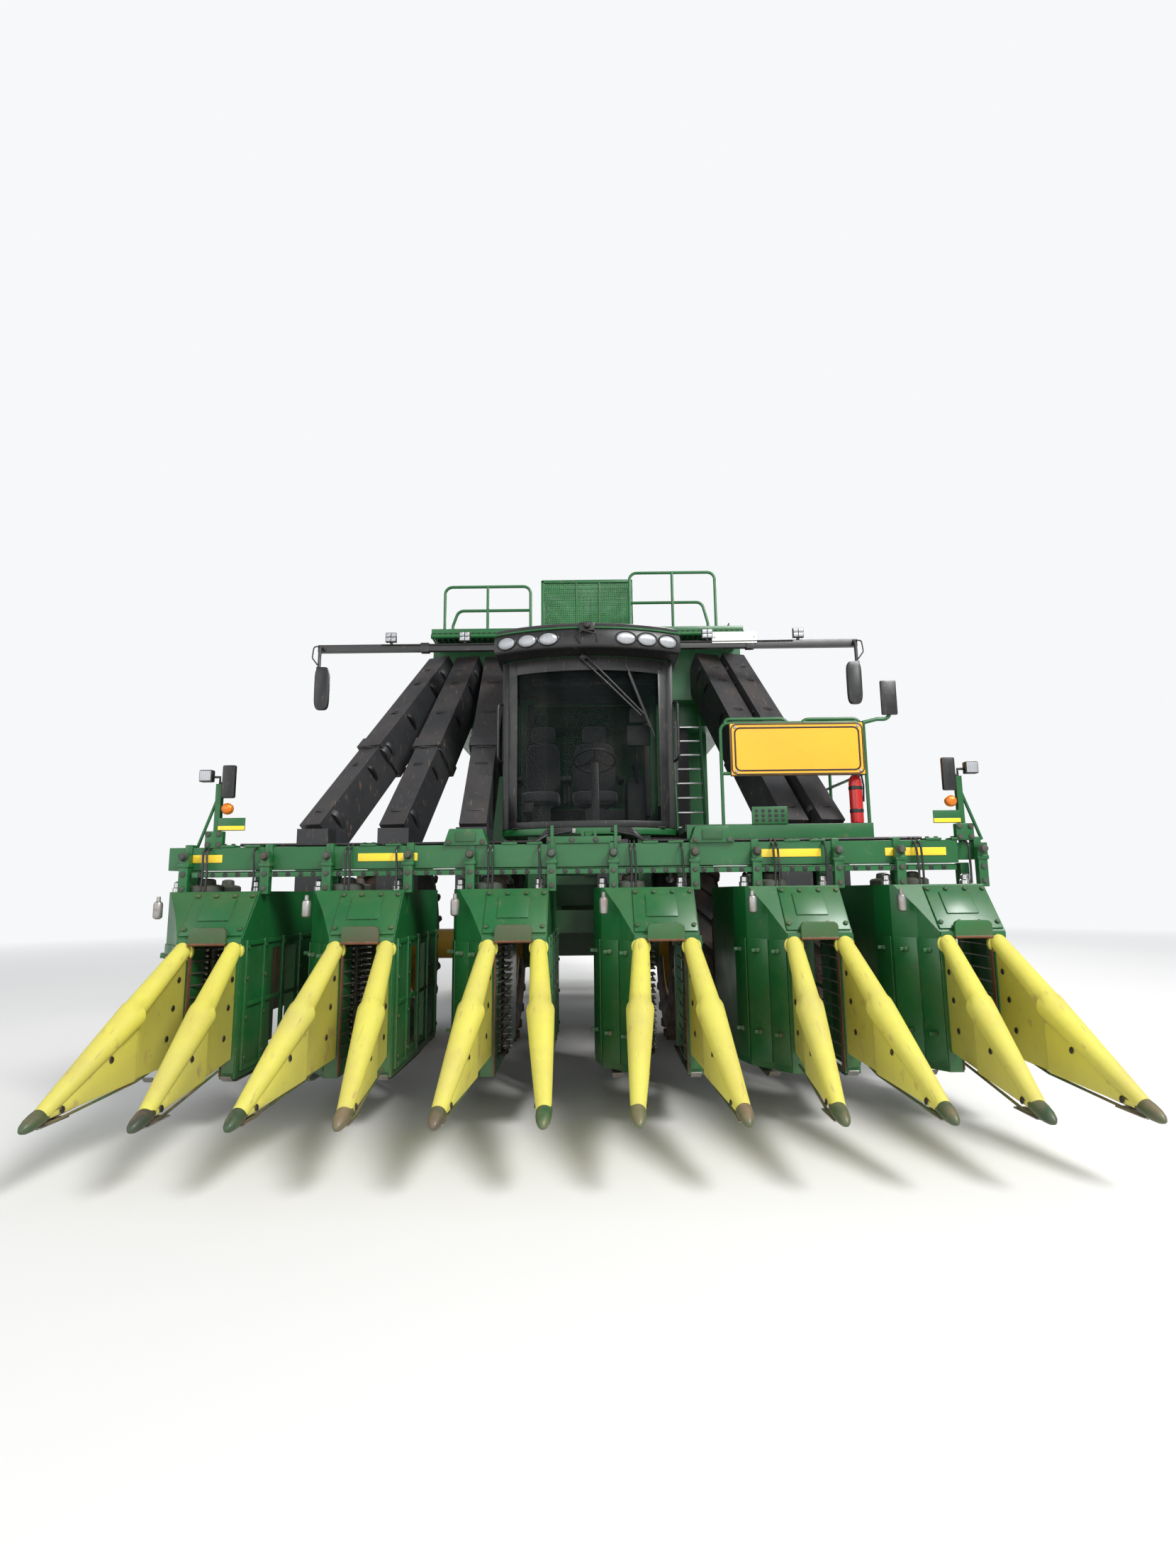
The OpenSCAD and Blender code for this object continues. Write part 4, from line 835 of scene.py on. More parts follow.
@dataclass
class Dividers:
    """The yellow moulded dividers and their nose shoes, a pair at each row."""

    head: Point = (165.0, 0.0, 1194.0)
    nose: Point = (265.0, -1060.0, 438.0)
    widths: tuple[Pair, ...] = ((0.0, 54.0), (0.10, 60.0), (0.405, 70.0), (0.41, 86.0), (0.62, 70.0),
                                (0.82, 54.0), (0.95, 43.0), (1.0, 39.0))
    skirt: Pair = (450.0, 385.0)
    web: float = 26.0

    def spine(self, row: float, side: int, share: float) -> Vector:
        """A point of the ridge, from its head at share 0 to its nose at share 1."""
        a, b = (Vector((row + side * p[0], UNIT_FRONT + p[1], p[2])) for p in (self.head, self.nose))
        return a.lerp(b, share)

    def stations(self) -> list[Pair]:
        """The widths' table in steps of about a twentieth of the ridge."""
        fine: list[Pair] = []
        for (s0, w0), (s1, w1) in zip(self.widths, self.widths[1:]):
            steps = max(1, round((s1 - s0) / 0.05))
            fine += [(s0 + (s1 - s0) * k / steps, w0 + (w1 - w0) * k / steps) for k in range(steps)]
        return fine + [self.widths[-1]]

    def section(self, top: Vector, share: float, width: float) -> list[Point]:
        """One ring: a rounded top with side walls that fall to the skirt's lower edge."""
        low = min(self.skirt[0] + (self.skirt[1] - self.skirt[0]) * share, top.z - width * 0.75)
        thin = self.web if share < self.widths[3][0] else self.web + 0.25 * width
        ring = []
        for i in range(15):
            a = math.radians(-25 + 230 * i / 14)
            ring.append((top.x + width * math.cos(a) * 0.98, top.y - 0.15 * width * math.sin(a),
                         top.z - width + width * math.sin(a)))
        neck, waist = max(low + 30, top.z - 2.1 * width), max(top.z - 1.75 * width, low)
        half = ((-0.62 * width, waist), (-thin, neck), (-thin, low + 12), (8 - thin, low))
        return ring + [(top.x + x, top.y, z) for x, z in half + tuple((-x, z) for x, z in half[::-1])]

    def build(self) -> None:
        """Makes the mouldings, shoes, screws and gathering rods."""
        body = Shape("divider_mouldings", Finish.YELLOW_PLASTIC)
        shoes = Shape("divider_nose_shoes", Finish.SHOE)
        heads: Spots = []
        rods = []
        fine = self.stations()
        for row, side in ((row, side) for row in ROWS for side in SIDES):
            head, nose, mid, tip = (self.spine(row, side, share) for share in (0.0, 1.0, 0.42, 0.97))
            body.loft([self.section(self.spine(row, side, s), s, w) for s, w in fine])
            body.lathe(((58, 4), (64, 0), (64, -22), (56, -30), (30, -34)), (head.x, head.y, head.z - 62),
                       FRONT, 24)
            shoes.lathe(((37, -50), (41, -36), (41, 16), (36, 58), (26, 92), (13, 112), (3, 118)),
                        (nose.x, nose.y, nose.z - 38), (0, -1, -0.30), 24)
            shoes.boxes((-34, -20, -84, 34, 190, -76, 3), at=nose, finish=Finish.STEEL)
            for share in (0.60, 0.90):
                width = next(w for s, w in fine if s >= share)
                p = self.spine(row, side, share)
                heads += [((p.x + edge * (self.web + 0.25 * width), p.y, p.z - 2.15 * width), (edge, 0, 0.15))
                          for edge in SIDES]
            for share, drop in ((0.06, 190), (0.10, 330), (0.14, 480)):
                p = self.spine(row, side, share)
                heads += [((p.x + edge * self.web, p.y, p.z - drop), (edge, 0, 0)) for edge in SIDES]
            for off in (-27.2, 27.2):
                rods.append([(mid.x + off, mid.y + 200, 440), (mid.x + off, mid.y + 40, 414),
                             (tip.x + off, tip.y + 70, 366), (tip.x, tip.y - 30, 352)])
        body.done(Body.HEADER, ("dividers",), "yellow_plastic", 42)
        shoes.done(Body.HEADER, ("divider_shoes",))
        studs("divider_screws", heads, 13, 7, Finish.BLACK_PLASTIC, Body.HEADER, 12)
        pipes("divider_gathering_rods", rods, 8, Finish.SHOE, Body.HEADER, 40, sides=8)


@dataclass
class UnitFronts:
    """What shows of the six picking units from the front: covers, throats, latches, posts and bars."""

    left: float = -470.0
    right: float = 220.0
    bend: float = 1210.0
    top: float = 1520.0
    run: float = 230.0
    half: float = 120.0
    height: float = 1180.0
    bar_pitch: int = 78

    def slope(self, share: float, proud: float) -> Pair:
        """(y, z) on the sloped cover, share 0 at its lower edge and 1 at its upper."""
        rise = self.top - self.bend
        out = proud / math.hypot(self.run, rise)
        return (UNIT_FRONT + self.run * share - out * rise, self.bend + rise * share + out * self.run)

    def build(self) -> None:
        """Makes every unit's pieces."""
        covers, metal = Shape("unit_cover_panels", Finish.GREEN), Shape("unit_metalwork", Finish.CAST)
        lips, skids = Shape("throat_lips", Finish.WORN_GREEN), Shape("unit_skid_shoes", Finish.STEEL)
        heads: Spots = []
        for row in ROWS:
            end = row + self.right
            for x0, x1, low, high, thick in ((row - 205, end - 8, 0.05, 0.95, 12),
                                             (row - 120, row + 90, 0.34, 0.80, 22)):
                corners = ((low, -1), (high, -1), (high, thick), (low, thick))
                covers.prism([self.slope(*corner) for corner in corners], "x", x0, x1, 4)
            heads += [((x, *self.slope(s, 16)), (0, -0.74, 0.67))
                      for x in (row - 185, row - 60, row + 70, end - 30) for s in (0.17, 0.87)]
            self.throat_lip(lips, metal, row)
            self.cabinet(covers, metal, heads, row)
            self.drum_caps(metal, row)
            for x in (row - 330, row + 170):
                skids.sheet([[(x + w, UNIT_FRONT + y, z) for w in (-34, 34)] for y, z in (
                    (-20, 352), (10, 322), (60, 308), (420, 306), (860, 306), (1000, 318))], 6)
        covers.done(Body.HEADER, slot="green_paint")
        for shape in (metal, lips, skids):
            shape.done(Body.HEADER)
        studs("unit_bolts", heads, 11, 9, Finish.DARK_GREEN, Body.HEADER)

    def throat_lip(self, lips: Shape, metal: Shape, row: float) -> None:
        """The worn hood plate over a throat, its edges and the bars behind it."""
        half, top, y = self.half, self.height, UNIT_FRONT - 2
        plate = [(row - 122, top - 4), (row + 122, top - 4)]
        bend = [(34 * math.cos(a), 34 * math.sin(a)) for a in (0.0, 0.4, 0.8, 1.2, 1.57)]
        plate += [(row + 88 + c, top + 70 + s) for c, s in bend]
        plate += [(row - 88 - s, top + 70 + c) for c, s in bend]
        lips.prism(plate, "y", y - 30, y, 4)
        lips.tube([(row - half, y - 28, top - 4), (row + half, y - 28, top - 4)], 9, 10, Finish.RUSTY)
        for side in SIDES:
            lips.boxes((half - 3, -6, 345, half + 5, 30, top, 1), at=(row, y, 0), side=side,
                       finish=Finish.RUSTY)
        for z in range(420, 1200, self.bar_pitch):
            metal.tube([(row + half + dx, y + dy, z + dz) for dx, dy, dz in (
                (2, 20, 0), (-12, 190, 4), (0, 420, 0))], 6, 8, Finish.STEEL)
            metal.tube([(row - dx, y + dy, z + 20) for dx, dy in (
                (half + 4, 26), (82, 150), (66, 360), (82, 560))], 6, 8)

    def cabinet(self, covers: Shape, metal: Shape, heads: Spots, row: float) -> None:
        """The green doors beside a throat, with latches on those that follow the chamfered corner."""
        end = row + self.right
        at = (row, UNIT_FRONT, 0)
        covers.boxes((self.half + 12, -10, 366, self.right - 6, 2, 1170, 5),
                     (-208, -12, 1178, self.right - 4, 4, 1212, 4), at=at)
        for (ax, ay), (bx, by) in (((-214, 4), (-298, 116)), ((-304, 124), (-416, 246)),
                                   ((-424, 258), (-466, 414))):
            a, b = Vector((row + ax, UNIT_FRONT + 2 + ay, 0)), Vector((row + bx, UNIT_FRONT + 2 + by, 0))
            out = Vector((a.y - b.y, b.x - a.x, 0)).normalized() * 10
            covers.loft([[(x, y, z) for x, y, _ in (a, a + out, b + out, b)] for z in (372, 1168)], 4)
            mid = (a + b) / 2 + out * 1.4
            for z in (560, 1090):
                metal.boxes((-40, -12, -12, 40, 8, 12, 5), at=(mid.x, mid.y, z), finish=Finish.GREEN)
                heads.append(((mid.x, mid.y - 12, z), FRONT))
        posts = (60, 330, 640, 960, 1270)
        covers.boxes(*((0, y - 20, 372, 20, y + 20, 1200, 3) for y in posts),
                     *((0, 80, z - 14, 14, 1250, z + 14, 3) for z in (380, 780, 1176)),
                     at=(end, UNIT_FRONT, 0))
        heads += [((end + 20, UNIT_FRONT + y, z), (1, 0, 0)) for y in posts for z in (450, 700, 950, 1150)]

    def drum_caps(self, metal: Shape, row: float) -> None:
        """Bearing caps and grease cups on top of a unit."""
        for x, y, r in ((row + DRUM_X, DRUM_Y, 112), (row - 265, DRUM_Y + 400, 92)):
            metal.lathe(((r, 0), (r, 34), (r * 0.86, 46), (r * 0.5, 52), (r * 0.46, 84), (r * 0.3, 92),
                         (8, 94)), (x, y, self.top), sides=28)
        for x in (row + CORNER_X, row + 150):
            metal.lathe(((38, 0), (38, 26), (30, 34), (30, 64), (20, 74), (4, 78)),
                        (x, UNIT_FRONT + 330, self.top), sides=20, finish=Finish.BRIGHT)


@dataclass
class Toolbar:
    """The head's crossbeam with its strips, clamps, covers, hoses, brackets and end mirrors."""

    face: float = BAR_FACE
    post_x: float = 2660.0
    cable_gap: float = 26.0

    def build(self) -> None:
        """Makes the pieces on the crossbeam."""
        beam, strips = Shape("toolbar_fittings", Finish.GREEN), Shape("toolbar_strips", Finish.STRIP)
        heads: Spots = []
        at = (0, self.face, 0)
        strips.boxes(*((x0, -5, 1722, x1, 1, 1778, 1.5)
                       for x0, x1 in ((-2801, -2592), (-1633, -1211), (1208, 1634), (2086, 2515))), at=at)
        for row in ROWS:
            self.hanger(beam, heads, row)
        for x in (-870, 870):
            beam.prism([(x - 158, 1826), (x + 158, 1826), (x + 118, 1944), (x - 118, 1944)], "y",
                       self.face - 26, self.face + 120, 8)
            beam.boxes((x - 70, -40, 1850, x + 70, -24, 1920, 5), at=at, finish=Finish.DARK_GREEN)
            heads += [((x + dx, self.face - 26, 1848), FRONT) for dx in (-120, 120)]
        # The centre bracket, and the perforated angle along the lower edge
        beam.boxes((-300, -10, 1832, 230, 10, 1884, 6), (-272, -18, 1790, -248, -4, 1960, 3),
                   (178, -18, 1790, 202, -4, 1960, 3), (-2780, -46, 1650, 2560, 2, 1660, 2),
                   (-2780, -46, 1618, 2560, -38, 1658, 2), at=at)
        heads += [((x, self.face - 10, 1858), FRONT) for x in (-280, -120, 50, 210)]
        # The angle's holes are not cut: black discs paint the shade that would be seen in them.
        holes = [((-2720 + k * 88, self.face - 46, 1636), FRONT) for k in range(60)]
        studs("toolbar_angle_hole_shade", holes, 12, 1, Finish.BLACK_PLASTIC, Body.HEADER, 16)
        for side in SIDES:
            self.end_post(beam, heads, side)
        beam.done(Body.HEADER, slot="green_paint")
        strips.done(Body.HEADER)
        studs("toolbar_bolts", heads, 13, 11, Finish.CAST, Body.HEADER)
        self.hoses()

    def hanger(self, beam: Shape, heads: Spots, row: float) -> None:
        """The plates that hang one unit from the crossbeam."""
        face = self.face
        for x in (row - 330, row + 238):
            beam.boxes((-32, -66, 1500, 32, -8, 1776, 6), (-40, -74, 1690, 40, -2, 1716, 4),
                       (-26, -10, 1770, 26, 60, 1850, 6), at=(x, face, 0))
            beam.lathe(((30, 0), (32, 12), (24, 26), (22, 44), (6, 48)), (x, face - 64, 1762), FRONT, 20,
                       Finish.CAST)
            heads += [((x, face - 66, z), FRONT) for z in (1540, 1640)]
        beam.lathe(((12, 0), (26, 8), (29, 16), (29, 98), (24, 112), (14, 118), (12, 150)),
                   (row + CORNER_X, UNIT_FRONT + 96, 1340), UP, 20, Finish.STEEL)
        for x in (row - 120, row + 60):
            beam.boxes((0, -8, 1830, 110, 90, 1846, 4), at=(x, face, 0))
            heads += [((x + k, face + 30, 1846), UP) for k in (24, 86)]

    def end_post(self, beam: Shape, heads: Spots, side: int) -> None:
        """One end bracket with the mirror, lamps and striped plate on its post."""
        x, face = side * self.post_x, self.face
        at = (x, face, 0)
        beam.boxes((-62, -10, 1826, 62, 40, 1946, 6), (-208, 12, 1950, -14, 18, 2042, 2), at=at, side=side)
        beam.boxes((-128, -14, 2182, -34, 22, 2422, 14), (34, -20, 2300, 128, 30, 2388, 10), at=at, side=side,
                   finish=Finish.BLACK_PLASTIC)
        beam.boxes((42, -24, 2308, 120, -19, 2380, 3), at=at, side=side, finish=Finish.CLEAR_LENS)
        beam.boxes((-80, 26, 2096, -10, 42, 2120, 3), at=at, side=side, finish=Finish.BLACK_PAINT)
        beam.boxes((-206, 9, 1954, -16, 13, 1984, 1), at=at, side=side, finish=Finish.STRIP)
        beam.tube([(x + side * dx, face + y, z) for dx, y, z in (
            (-50, 24, 2300), (0, 34, 2296), (0, 34, 2340), (60, 20, 2340))], 10, 10, Finish.BLACK_PAINT)
        beam.lathe(((40, -26), (42, -8), (38, 2), (28, 12), (4, 18)), (x - side * 72, face + 8, 2108),
                   FRONT, 24, Finish.AMBER_LENS)
        beam.tube([(x + side * 14, face + 40, 2180), (x + side * 146, face + 60, 1834)], 11, 10)
        heads += [((x + dx, face - 10, z), FRONT) for dx in (-40, 40) for z in (1850, 1924)]

    def hoses(self) -> None:
        """The hoses and water lines along the crossbeam."""
        face, gap = self.face, self.cable_gap
        lines = ((-2500, -1400, -380, -300, -120), (2380, 1400, 400, 320, 160))
        runs = [[(outer, face + 70 + k * gap, 1850), (middle, face + 66 + k * gap, 1846),
                 (inner, face + 70 + k * gap, 1852), (bend, face + 110, 1900 + k * 20),
                 (end, face + 120, 1930 + k * 10)] for outer, middle, inner, bend, end in lines for k in range(3)]
        pipes("toolbar_hoses", runs, 11, Finish.BLACK_PLASTIC, Body.HEADER, 50, sides=10)
        drops = [[(x, face + 60, 1850), (x, face - 40 - 8 * k, 1800), (x + 8, face - 46, 1640),
                  (x + 4, UNIT_FRONT + 250, 1524)]
                 for row in ROWS for k, x in enumerate((row - 210, row - 180, row + 150))]
        pipes("unit_water_lines", drops, 8, Finish.BLACK_PLASTIC, Body.HEADER, 50, sides=8)


@dataclass
class Drums:
    """The spindle drums that turn in the units."""

    bars: int = 10
    low: float = 444.0
    pitch: float = 40.0
    rows: int = 18

    def build(self) -> None:
        """Makes each drum's post, bars and spindles."""
        for i, row in enumerate(ROWS, 1):
            x, y, body = row + DRUM_X, DRUM_Y, Body[f"DRUM_{i}"]
            post = Shape(f"drum_{i}_post", Finish.CAST)
            post.lathe(((25, 391), (25, 402), (150, 402), (150, 414), (70, 420), (70, 1150), (150, 1156),
                        (150, 1168), (25, 1170), (25, 1179)), (x, y, 0), sides=24)
            spots: Spots = []
            for c, s in around(self.bars, 0.5):
                post.tube([(x + 88 * c, y + 88 * s, z) for z in (414, 1156)], 21, 8)
                spots += [((x + 100 * c, y + 100 * s, self.low + r * self.pitch), (c, s, 0))
                          for r in range(self.rows)]
            post.done(body, (f"drum_{i}",), "bare_steel")
            studs(f"drum_{i}_spindles", spots, 7.5, 74, Finish.BRIGHT, body, 8)


# ---- Cab, platform and ducts


@dataclass
class CabShell:
    """The cab's front: window surround, corner trim, wiper and handles."""

    half: float = 710.0
    sill: float = 2090.0
    head: float = 3580.0
    bow: float = 1564.0
    front: float = -1300.0

    def face(self, x: float, proud: float = 0.0) -> float:
        """y of the bowed front at x, moved out by proud."""
        return self.front + self.bow - math.sqrt((self.bow + proud) ** 2 - x * x)

    def band(self, shape: Shape, x0: float, x1: float, z0: float, z1: float, outer: float = 12,
             steps: int = 12) -> None:
        """Adds a bowed band from x0 to x1 and z0 to z1 that follows the cab's front."""
        rings = []
        for k in range(steps + 1):
            x = x0 + (x1 - x0) * k / steps
            a, b = self.face(x), self.face(x, outer)
            rings.append([(x, a, z0), (x, b, z0), (x, b, z1), (x, a, z1)])
        shape.loft(rings, 3)

    def build(self) -> None:
        """Makes the cab's front pieces."""
        trim, green = Shape("cab_window_trim", Finish.BLACK_PLASTIC), Shape("cab_corner_panels", Finish.GREEN)
        wide, corner = self.half + 28, self.face(self.half + 60)
        self.band(trim, -wide, wide, self.head - 70, self.head + 62)
        self.band(trim, -wide, wide, self.sill - 26, self.sill + 34)
        runs = []
        for side in SIDES:
            a, b = sorted((side * (self.half - 52), side * wide))
            self.band(trim, a, b, self.sill - 20, self.head + 30, steps=3)
            trim.boxes((736, -18, 2060, 796, 24, 3645, 10), (788, 4, 2700, 804, 120, 3640, 4),
                       at=(0, corner, 0), side=side)
            runs.append([(side * x, corner + y, z) for x, y, z in (
                (796, 30, 3250), (836, -70, 3240), (836, -70, 2700), (796, 30, 2690))])
        self.band(green, -780, 780, 2002, self.sill - 30, 10)
        green.boxes((-250, -30, 2010, -120, -6, 2052, 4), at=(0, self.face(0), 0), finish=Finish.STEEL)
        self.wiper(trim)
        trim.done(slot="black_plastic")
        green.done(slot="green_paint")
        pipes("cab_grab_handles", runs, 13, Finish.BLACK_PLASTIC, bend=50)

    def wiper(self, shape: Shape) -> None:
        """The parked wiper on its pivot under the visor."""
        pivot, tip = Vector((-40, self.face(-40, 44), 3622)), Vector((560, self.face(560, 26), 3040))
        shape.lathe(((34, -20), (34, 26), (22, 40), (8, 46)), pivot, FRONT, 20)
        for off in (-22, 22):
            a = pivot + Vector((off * 0.8, -26, off * 0.7))
            b = pivot.lerp(tip, 0.90) + Vector((off * 0.5, -24, off * 0.4))
            shape.tube([a, a.lerp(b, 0.5) + Vector((0, -10, 0)), b], 9, 10)
        line = [(485 + 32.4 * k, self.face(485 + 32.4 * k, 16), 3240 - 83.7 * k) for k in range(-4, 5)]
        shape.tube(line, 9, 8)
        shape.tube([(x - 12, y - 10, z) for x, y, z in line[1:8]], 7, 8)


@dataclass
class CabRoof:
    """The moulded roof with its visor, oval lamps, camera and aerials."""

    half: float = 860.0
    bow: float = 1900.0
    centre: float = 380.0
    back: float = 250.0
    lamps: tuple[float, ...] = (350.0, 545.0, 740.0)
    levels: tuple[Pair, ...] = ((3650, 0.34), (3656, 0.16), (3672, 0.05), (3700, 0.0), (3790, 0.0),
                                (3850, 0.10), (3896, 0.30), (3924, 0.62), (3938, 1.1), (3944, 1.8))

    def front(self, x: float) -> float:
        """y of the roof's bowed front edge at x."""
        return self.centre - math.sqrt(self.bow ** 2 - x * x)

    def outline(self, share: float) -> list[Pair]:
        """The roof's plan outline, drawn in by a share of its overhang."""
        inset = 170 * share
        half = self.half - inset * 0.6
        edge = [-half + 2 * half * k / 24 for k in range(25)]
        return ([(x, self.front(x) + inset) for x in edge]
                + [(x, self.back - inset * 0.5) for x in (half, -half)])

    def build(self) -> None:
        """Makes the roof and what sits on it."""
        roof = Shape("cab_roof_moulding", Finish.BLACK_PLASTIC)
        glass = Shape("roof_lamp_lenses", Finish.CLEAR_LENS)
        roof.loft([[(x, y, z) for x, y in self.outline(s)] for z, s in self.levels])
        roof.tube([(x, y - 6, 3846) for x, y in self.outline(0.08)[:25]], 9, 8, Finish.GREEN)
        for x in self.lamps:
            for side in SIDES:
                slope = math.asin(x / self.bow) * side
                ahead = Vector((math.sin(slope), -math.cos(slope), 0))
                place = Vector((side * x, self.front(x), 3750)) + ahead * 2
                self.lamp(roof, place, ahead, ((1.16, -20), (1.18, 4), (1.10, 10), (1.02, 6), (1.0, -8)))
                self.lamp(glass, place, ahead, ((0.99, -10), (0.99, 0), (0.82, 9), (0.5, 14), (0.05, 16)))
        roof.boxes((-70, -1560, 3800, 70, -1490, 3880, 14))
        roof.lathe(((30, 0), (34, 18), (30, 46), (22, 54), (6, 56)), (0, -1556, 3842), FRONT, 20)
        roof.tube([(-64, -1540, 3690), (-110, -1590, 3740), (-40, -1600, 3790), (70, -1590, 3760),
                   (90, -1550, 3700)], 8, 8)
        roof.done(Body.CHASSIS, ("cab_roof", "work_lamps"), "black_plastic", 34)
        glass.done(slot="lamp_lens")
        rods = Shape("roof_aerials", Finish.BLACK_PLASTIC)
        for x, y in ((-40, -300), (30, -260)):
            rods.tube([(x, y, 3948), (x, y + 6, 4200), (x + 6, y + 20, 4640)], [5, 4, 2], 6)
            rods.lathe(((22, 0), (22, 20), (10, 30), (6, 44)), (x, y, 3944), sides=16)
        rods.lathe(((48, 0), (52, 10), (40, 34), (14, 46), (4, 48)), (-330, -500, 3944), sides=24,
                   finish=Finish.WHITE_PLASTIC)
        rods.done()

    def lamp(self, shape: Shape, place: Vector, ahead: Vector, profile: Sequence[Pair]) -> None:
        """Adds the bezel or the lens of one oval lamp, from (share of its size, distance ahead) pairs."""
        up = Vector(UP)
        across = up.cross(ahead).normalized()
        shape.loft([[place + ahead * h + across * (86 * r * c) + up * (56 * r * s) for c, s in around(32)]
                    for r, h in profile])


@dataclass
class CabInside:
    """Seats, column, console and headlining seen through the glass."""

    floor: float = CAB_FLOOR
    tilt: float = -25.0
    wheel_radius: float = 195.0

    def build(self) -> None:
        """Makes the cab's inside."""
        hard, floor = Shape("cab_controls", Finish.BLACK_PLASTIC), self.floor
        for x, half in ((60, 230), (-480, 190)):
            self.seat(hard, x, half)
        hard.loft([[(60 - w, y0, z), (60 + w, y0, z), (60 + w, y1, z), (60 - w, y1, z)] for w, y0, y1, z in (
            (42, -1140, -1020, floor), (38, -1128, -990, 2300), (32, -1030, -905, 2700))], 8)
        turn, hub = Matrix.Rotation(math.radians(self.tilt), 3, "X"), Vector((60, -945, 2725))
        rim = [(self.wheel_radius * c, self.wheel_radius * s, 0) for c, s in around(40, extra=1)]
        hard.tube([hub + turn @ Vector(p) for p in rim], 16, 10)
        for a in (0.5, 2.6, 4.7):
            hard.tube([hub, hub + turn @ Vector((190 * math.cos(a), 190 * math.sin(a), 0))], [20, 11], 8)
        hard.lathe(((60, -12), (58, 8), (40, 16), (8, 18)), hub, turn @ Vector(UP), 24)
        hard.tube([(455, -640, 2590), (455, -660, 2680), (440, -668, 2720)], [16, 14, 26])
        hard.tube([(470, -740, 2520), (470, -800, 2700), (480, -850, 2860)], 18, 10)
        hard.boxes((372, -758, floor, 558, -162, 2560, 24), (372, -900, 2880, 598, -868, 3080, 12),
                   (400, -880, 3110, 590, -850, 3250, 12), (-620, -1010, 2230, -520, -980, 2330, 12),
                   (-700, -1180, floor, 700, 190, 2072, 3))
        hard.boxes((380, -700, 2556, 550, -200, 2600, 18), (-560, -620, 3560, 560, 150, 3640, 20),
                   (-690, 195, floor, 690, 203, 2380, 3), (-670, 120, 2300, -610, 200, 3560, 10),
                   (610, 120, 2300, 670, 200, 3560, 10), finish=Finish.DUCT_PLASTIC)
        hard.done(Body.CHASSIS, ("cab_interior",))

    def seat(self, hard: Shape, x: float, half: float) -> None:
        """Adds a seat: its base and arm rests, and its cushions as padded pieces."""
        hard.loft([[(x - w, w * 0.2 - 560, z), (x + w, w * 0.2 - 560, z), (x + w, -300, z), (x - w, -300, z)]
                   for z, w in ((self.floor, 150), (2100, 150), (2120, 100), (2320, 100), (2350, half - 40),
                                (2366, half - 40))], 6)
        for side in SIDES:
            hard.boxes((-32, -600, 2590, 32, -260, 2640, 20), (-14, -300, 2400, 14, -250, 2600, 8),
                       at=(x + side * (half + 36), 0, 0))
        for label, low, high in (("seat", (x - half, -700, 2366), (x + half, -215, 2478)),
                                 ("back", (x - half + 8, -240, 2480), (x + half - 8, -128, 3050)),
                                 ("head", (x - 130, -215, 3060), (x + 130, -125, 3230))):
            cushion = Shape(f"cushion_{label}_{'driver' if x > 0 else 'guest'}", Finish.SEAT)
            self.pillow(cushion, Vector(low), Vector(high))
            cushion.done(slot="seat_cloth", smooth=60)

    def pillow(self, shape: Shape, low: Vector, high: Vector) -> None:
        """Adds a soft block with crowned faces."""
        middle, size = (low + high) / 2, (high - low) / 2
        thin = min(range(3), key=lambda i: size[i])
        a, b = (i for i in range(3) if i != thin)
        rings = []
        for h in (-1.0, -0.82, -0.4, 0.0, 0.4, 0.82, 1.0):
            grow = (1 - abs(h) ** 3.2) ** 0.45 * 0.10 + 0.88 if abs(h) < 1 else 0.80
            ring = []
            for c, s in around(40):
                p = middle.copy()
                p[a] += size[a] * grow * squared(c, 0.42)
                p[b] += size[b] * grow * squared(s, 0.42)
                p[thin] += size[thin] * h
                ring.append(p)
            rings.append(ring)
        shape.loft(rings)


@dataclass
class Ducts:
    """Collars and straps of the suction ducts, each duct given by its x at the foot and at the top."""

    lines: tuple[Pair, ...] = ((1780, 1300), (2100, 1600), (-1020, -1020), (-1700, -1320), (-2400, -1620))

    def ring(self, line: Pair, share: float, width: float, depth: float) -> list[Vector]:
        """A rounded rectangle across a duct."""
        foot, top = Vector((line[0], -1290, 1980)), Vector((line[1], 330, 4010))
        along = (top - foot).normalized()
        side = (Vector((1, 0, 0)) - along * along.x).normalized()
        up = along.cross(side)
        return [foot.lerp(top, share) + side * (width * squared(c)) + up * (depth * squared(s))
                for c, s in around(28)]

    def build(self) -> None:
        """Makes the collars and the straps."""
        soft, straps = Shape("duct_collars", Finish.DUCT_PLASTIC), Shape("duct_straps", Finish.BLACK_PLASTIC)
        for line in self.lines:
            for s, w, t in ((0.395, 134, 0.012), (0.425, 139, 0.008), (0.06, 126, 0.010), (0.90, 139, 0.010)):
                soft.loft([self.ring(line, s + t * k, w + grow, w + 65 + grow)
                           for k, grow in enumerate((0, 5, 0))])
            for s, w in ((0.30, 124), (0.60, 139), (0.80, 139)):
                straps.loft([self.ring(line, share, w, w + 65) for share in (s, s + 0.012)])
        soft.done(slot="duct_plastic")
        straps.done()


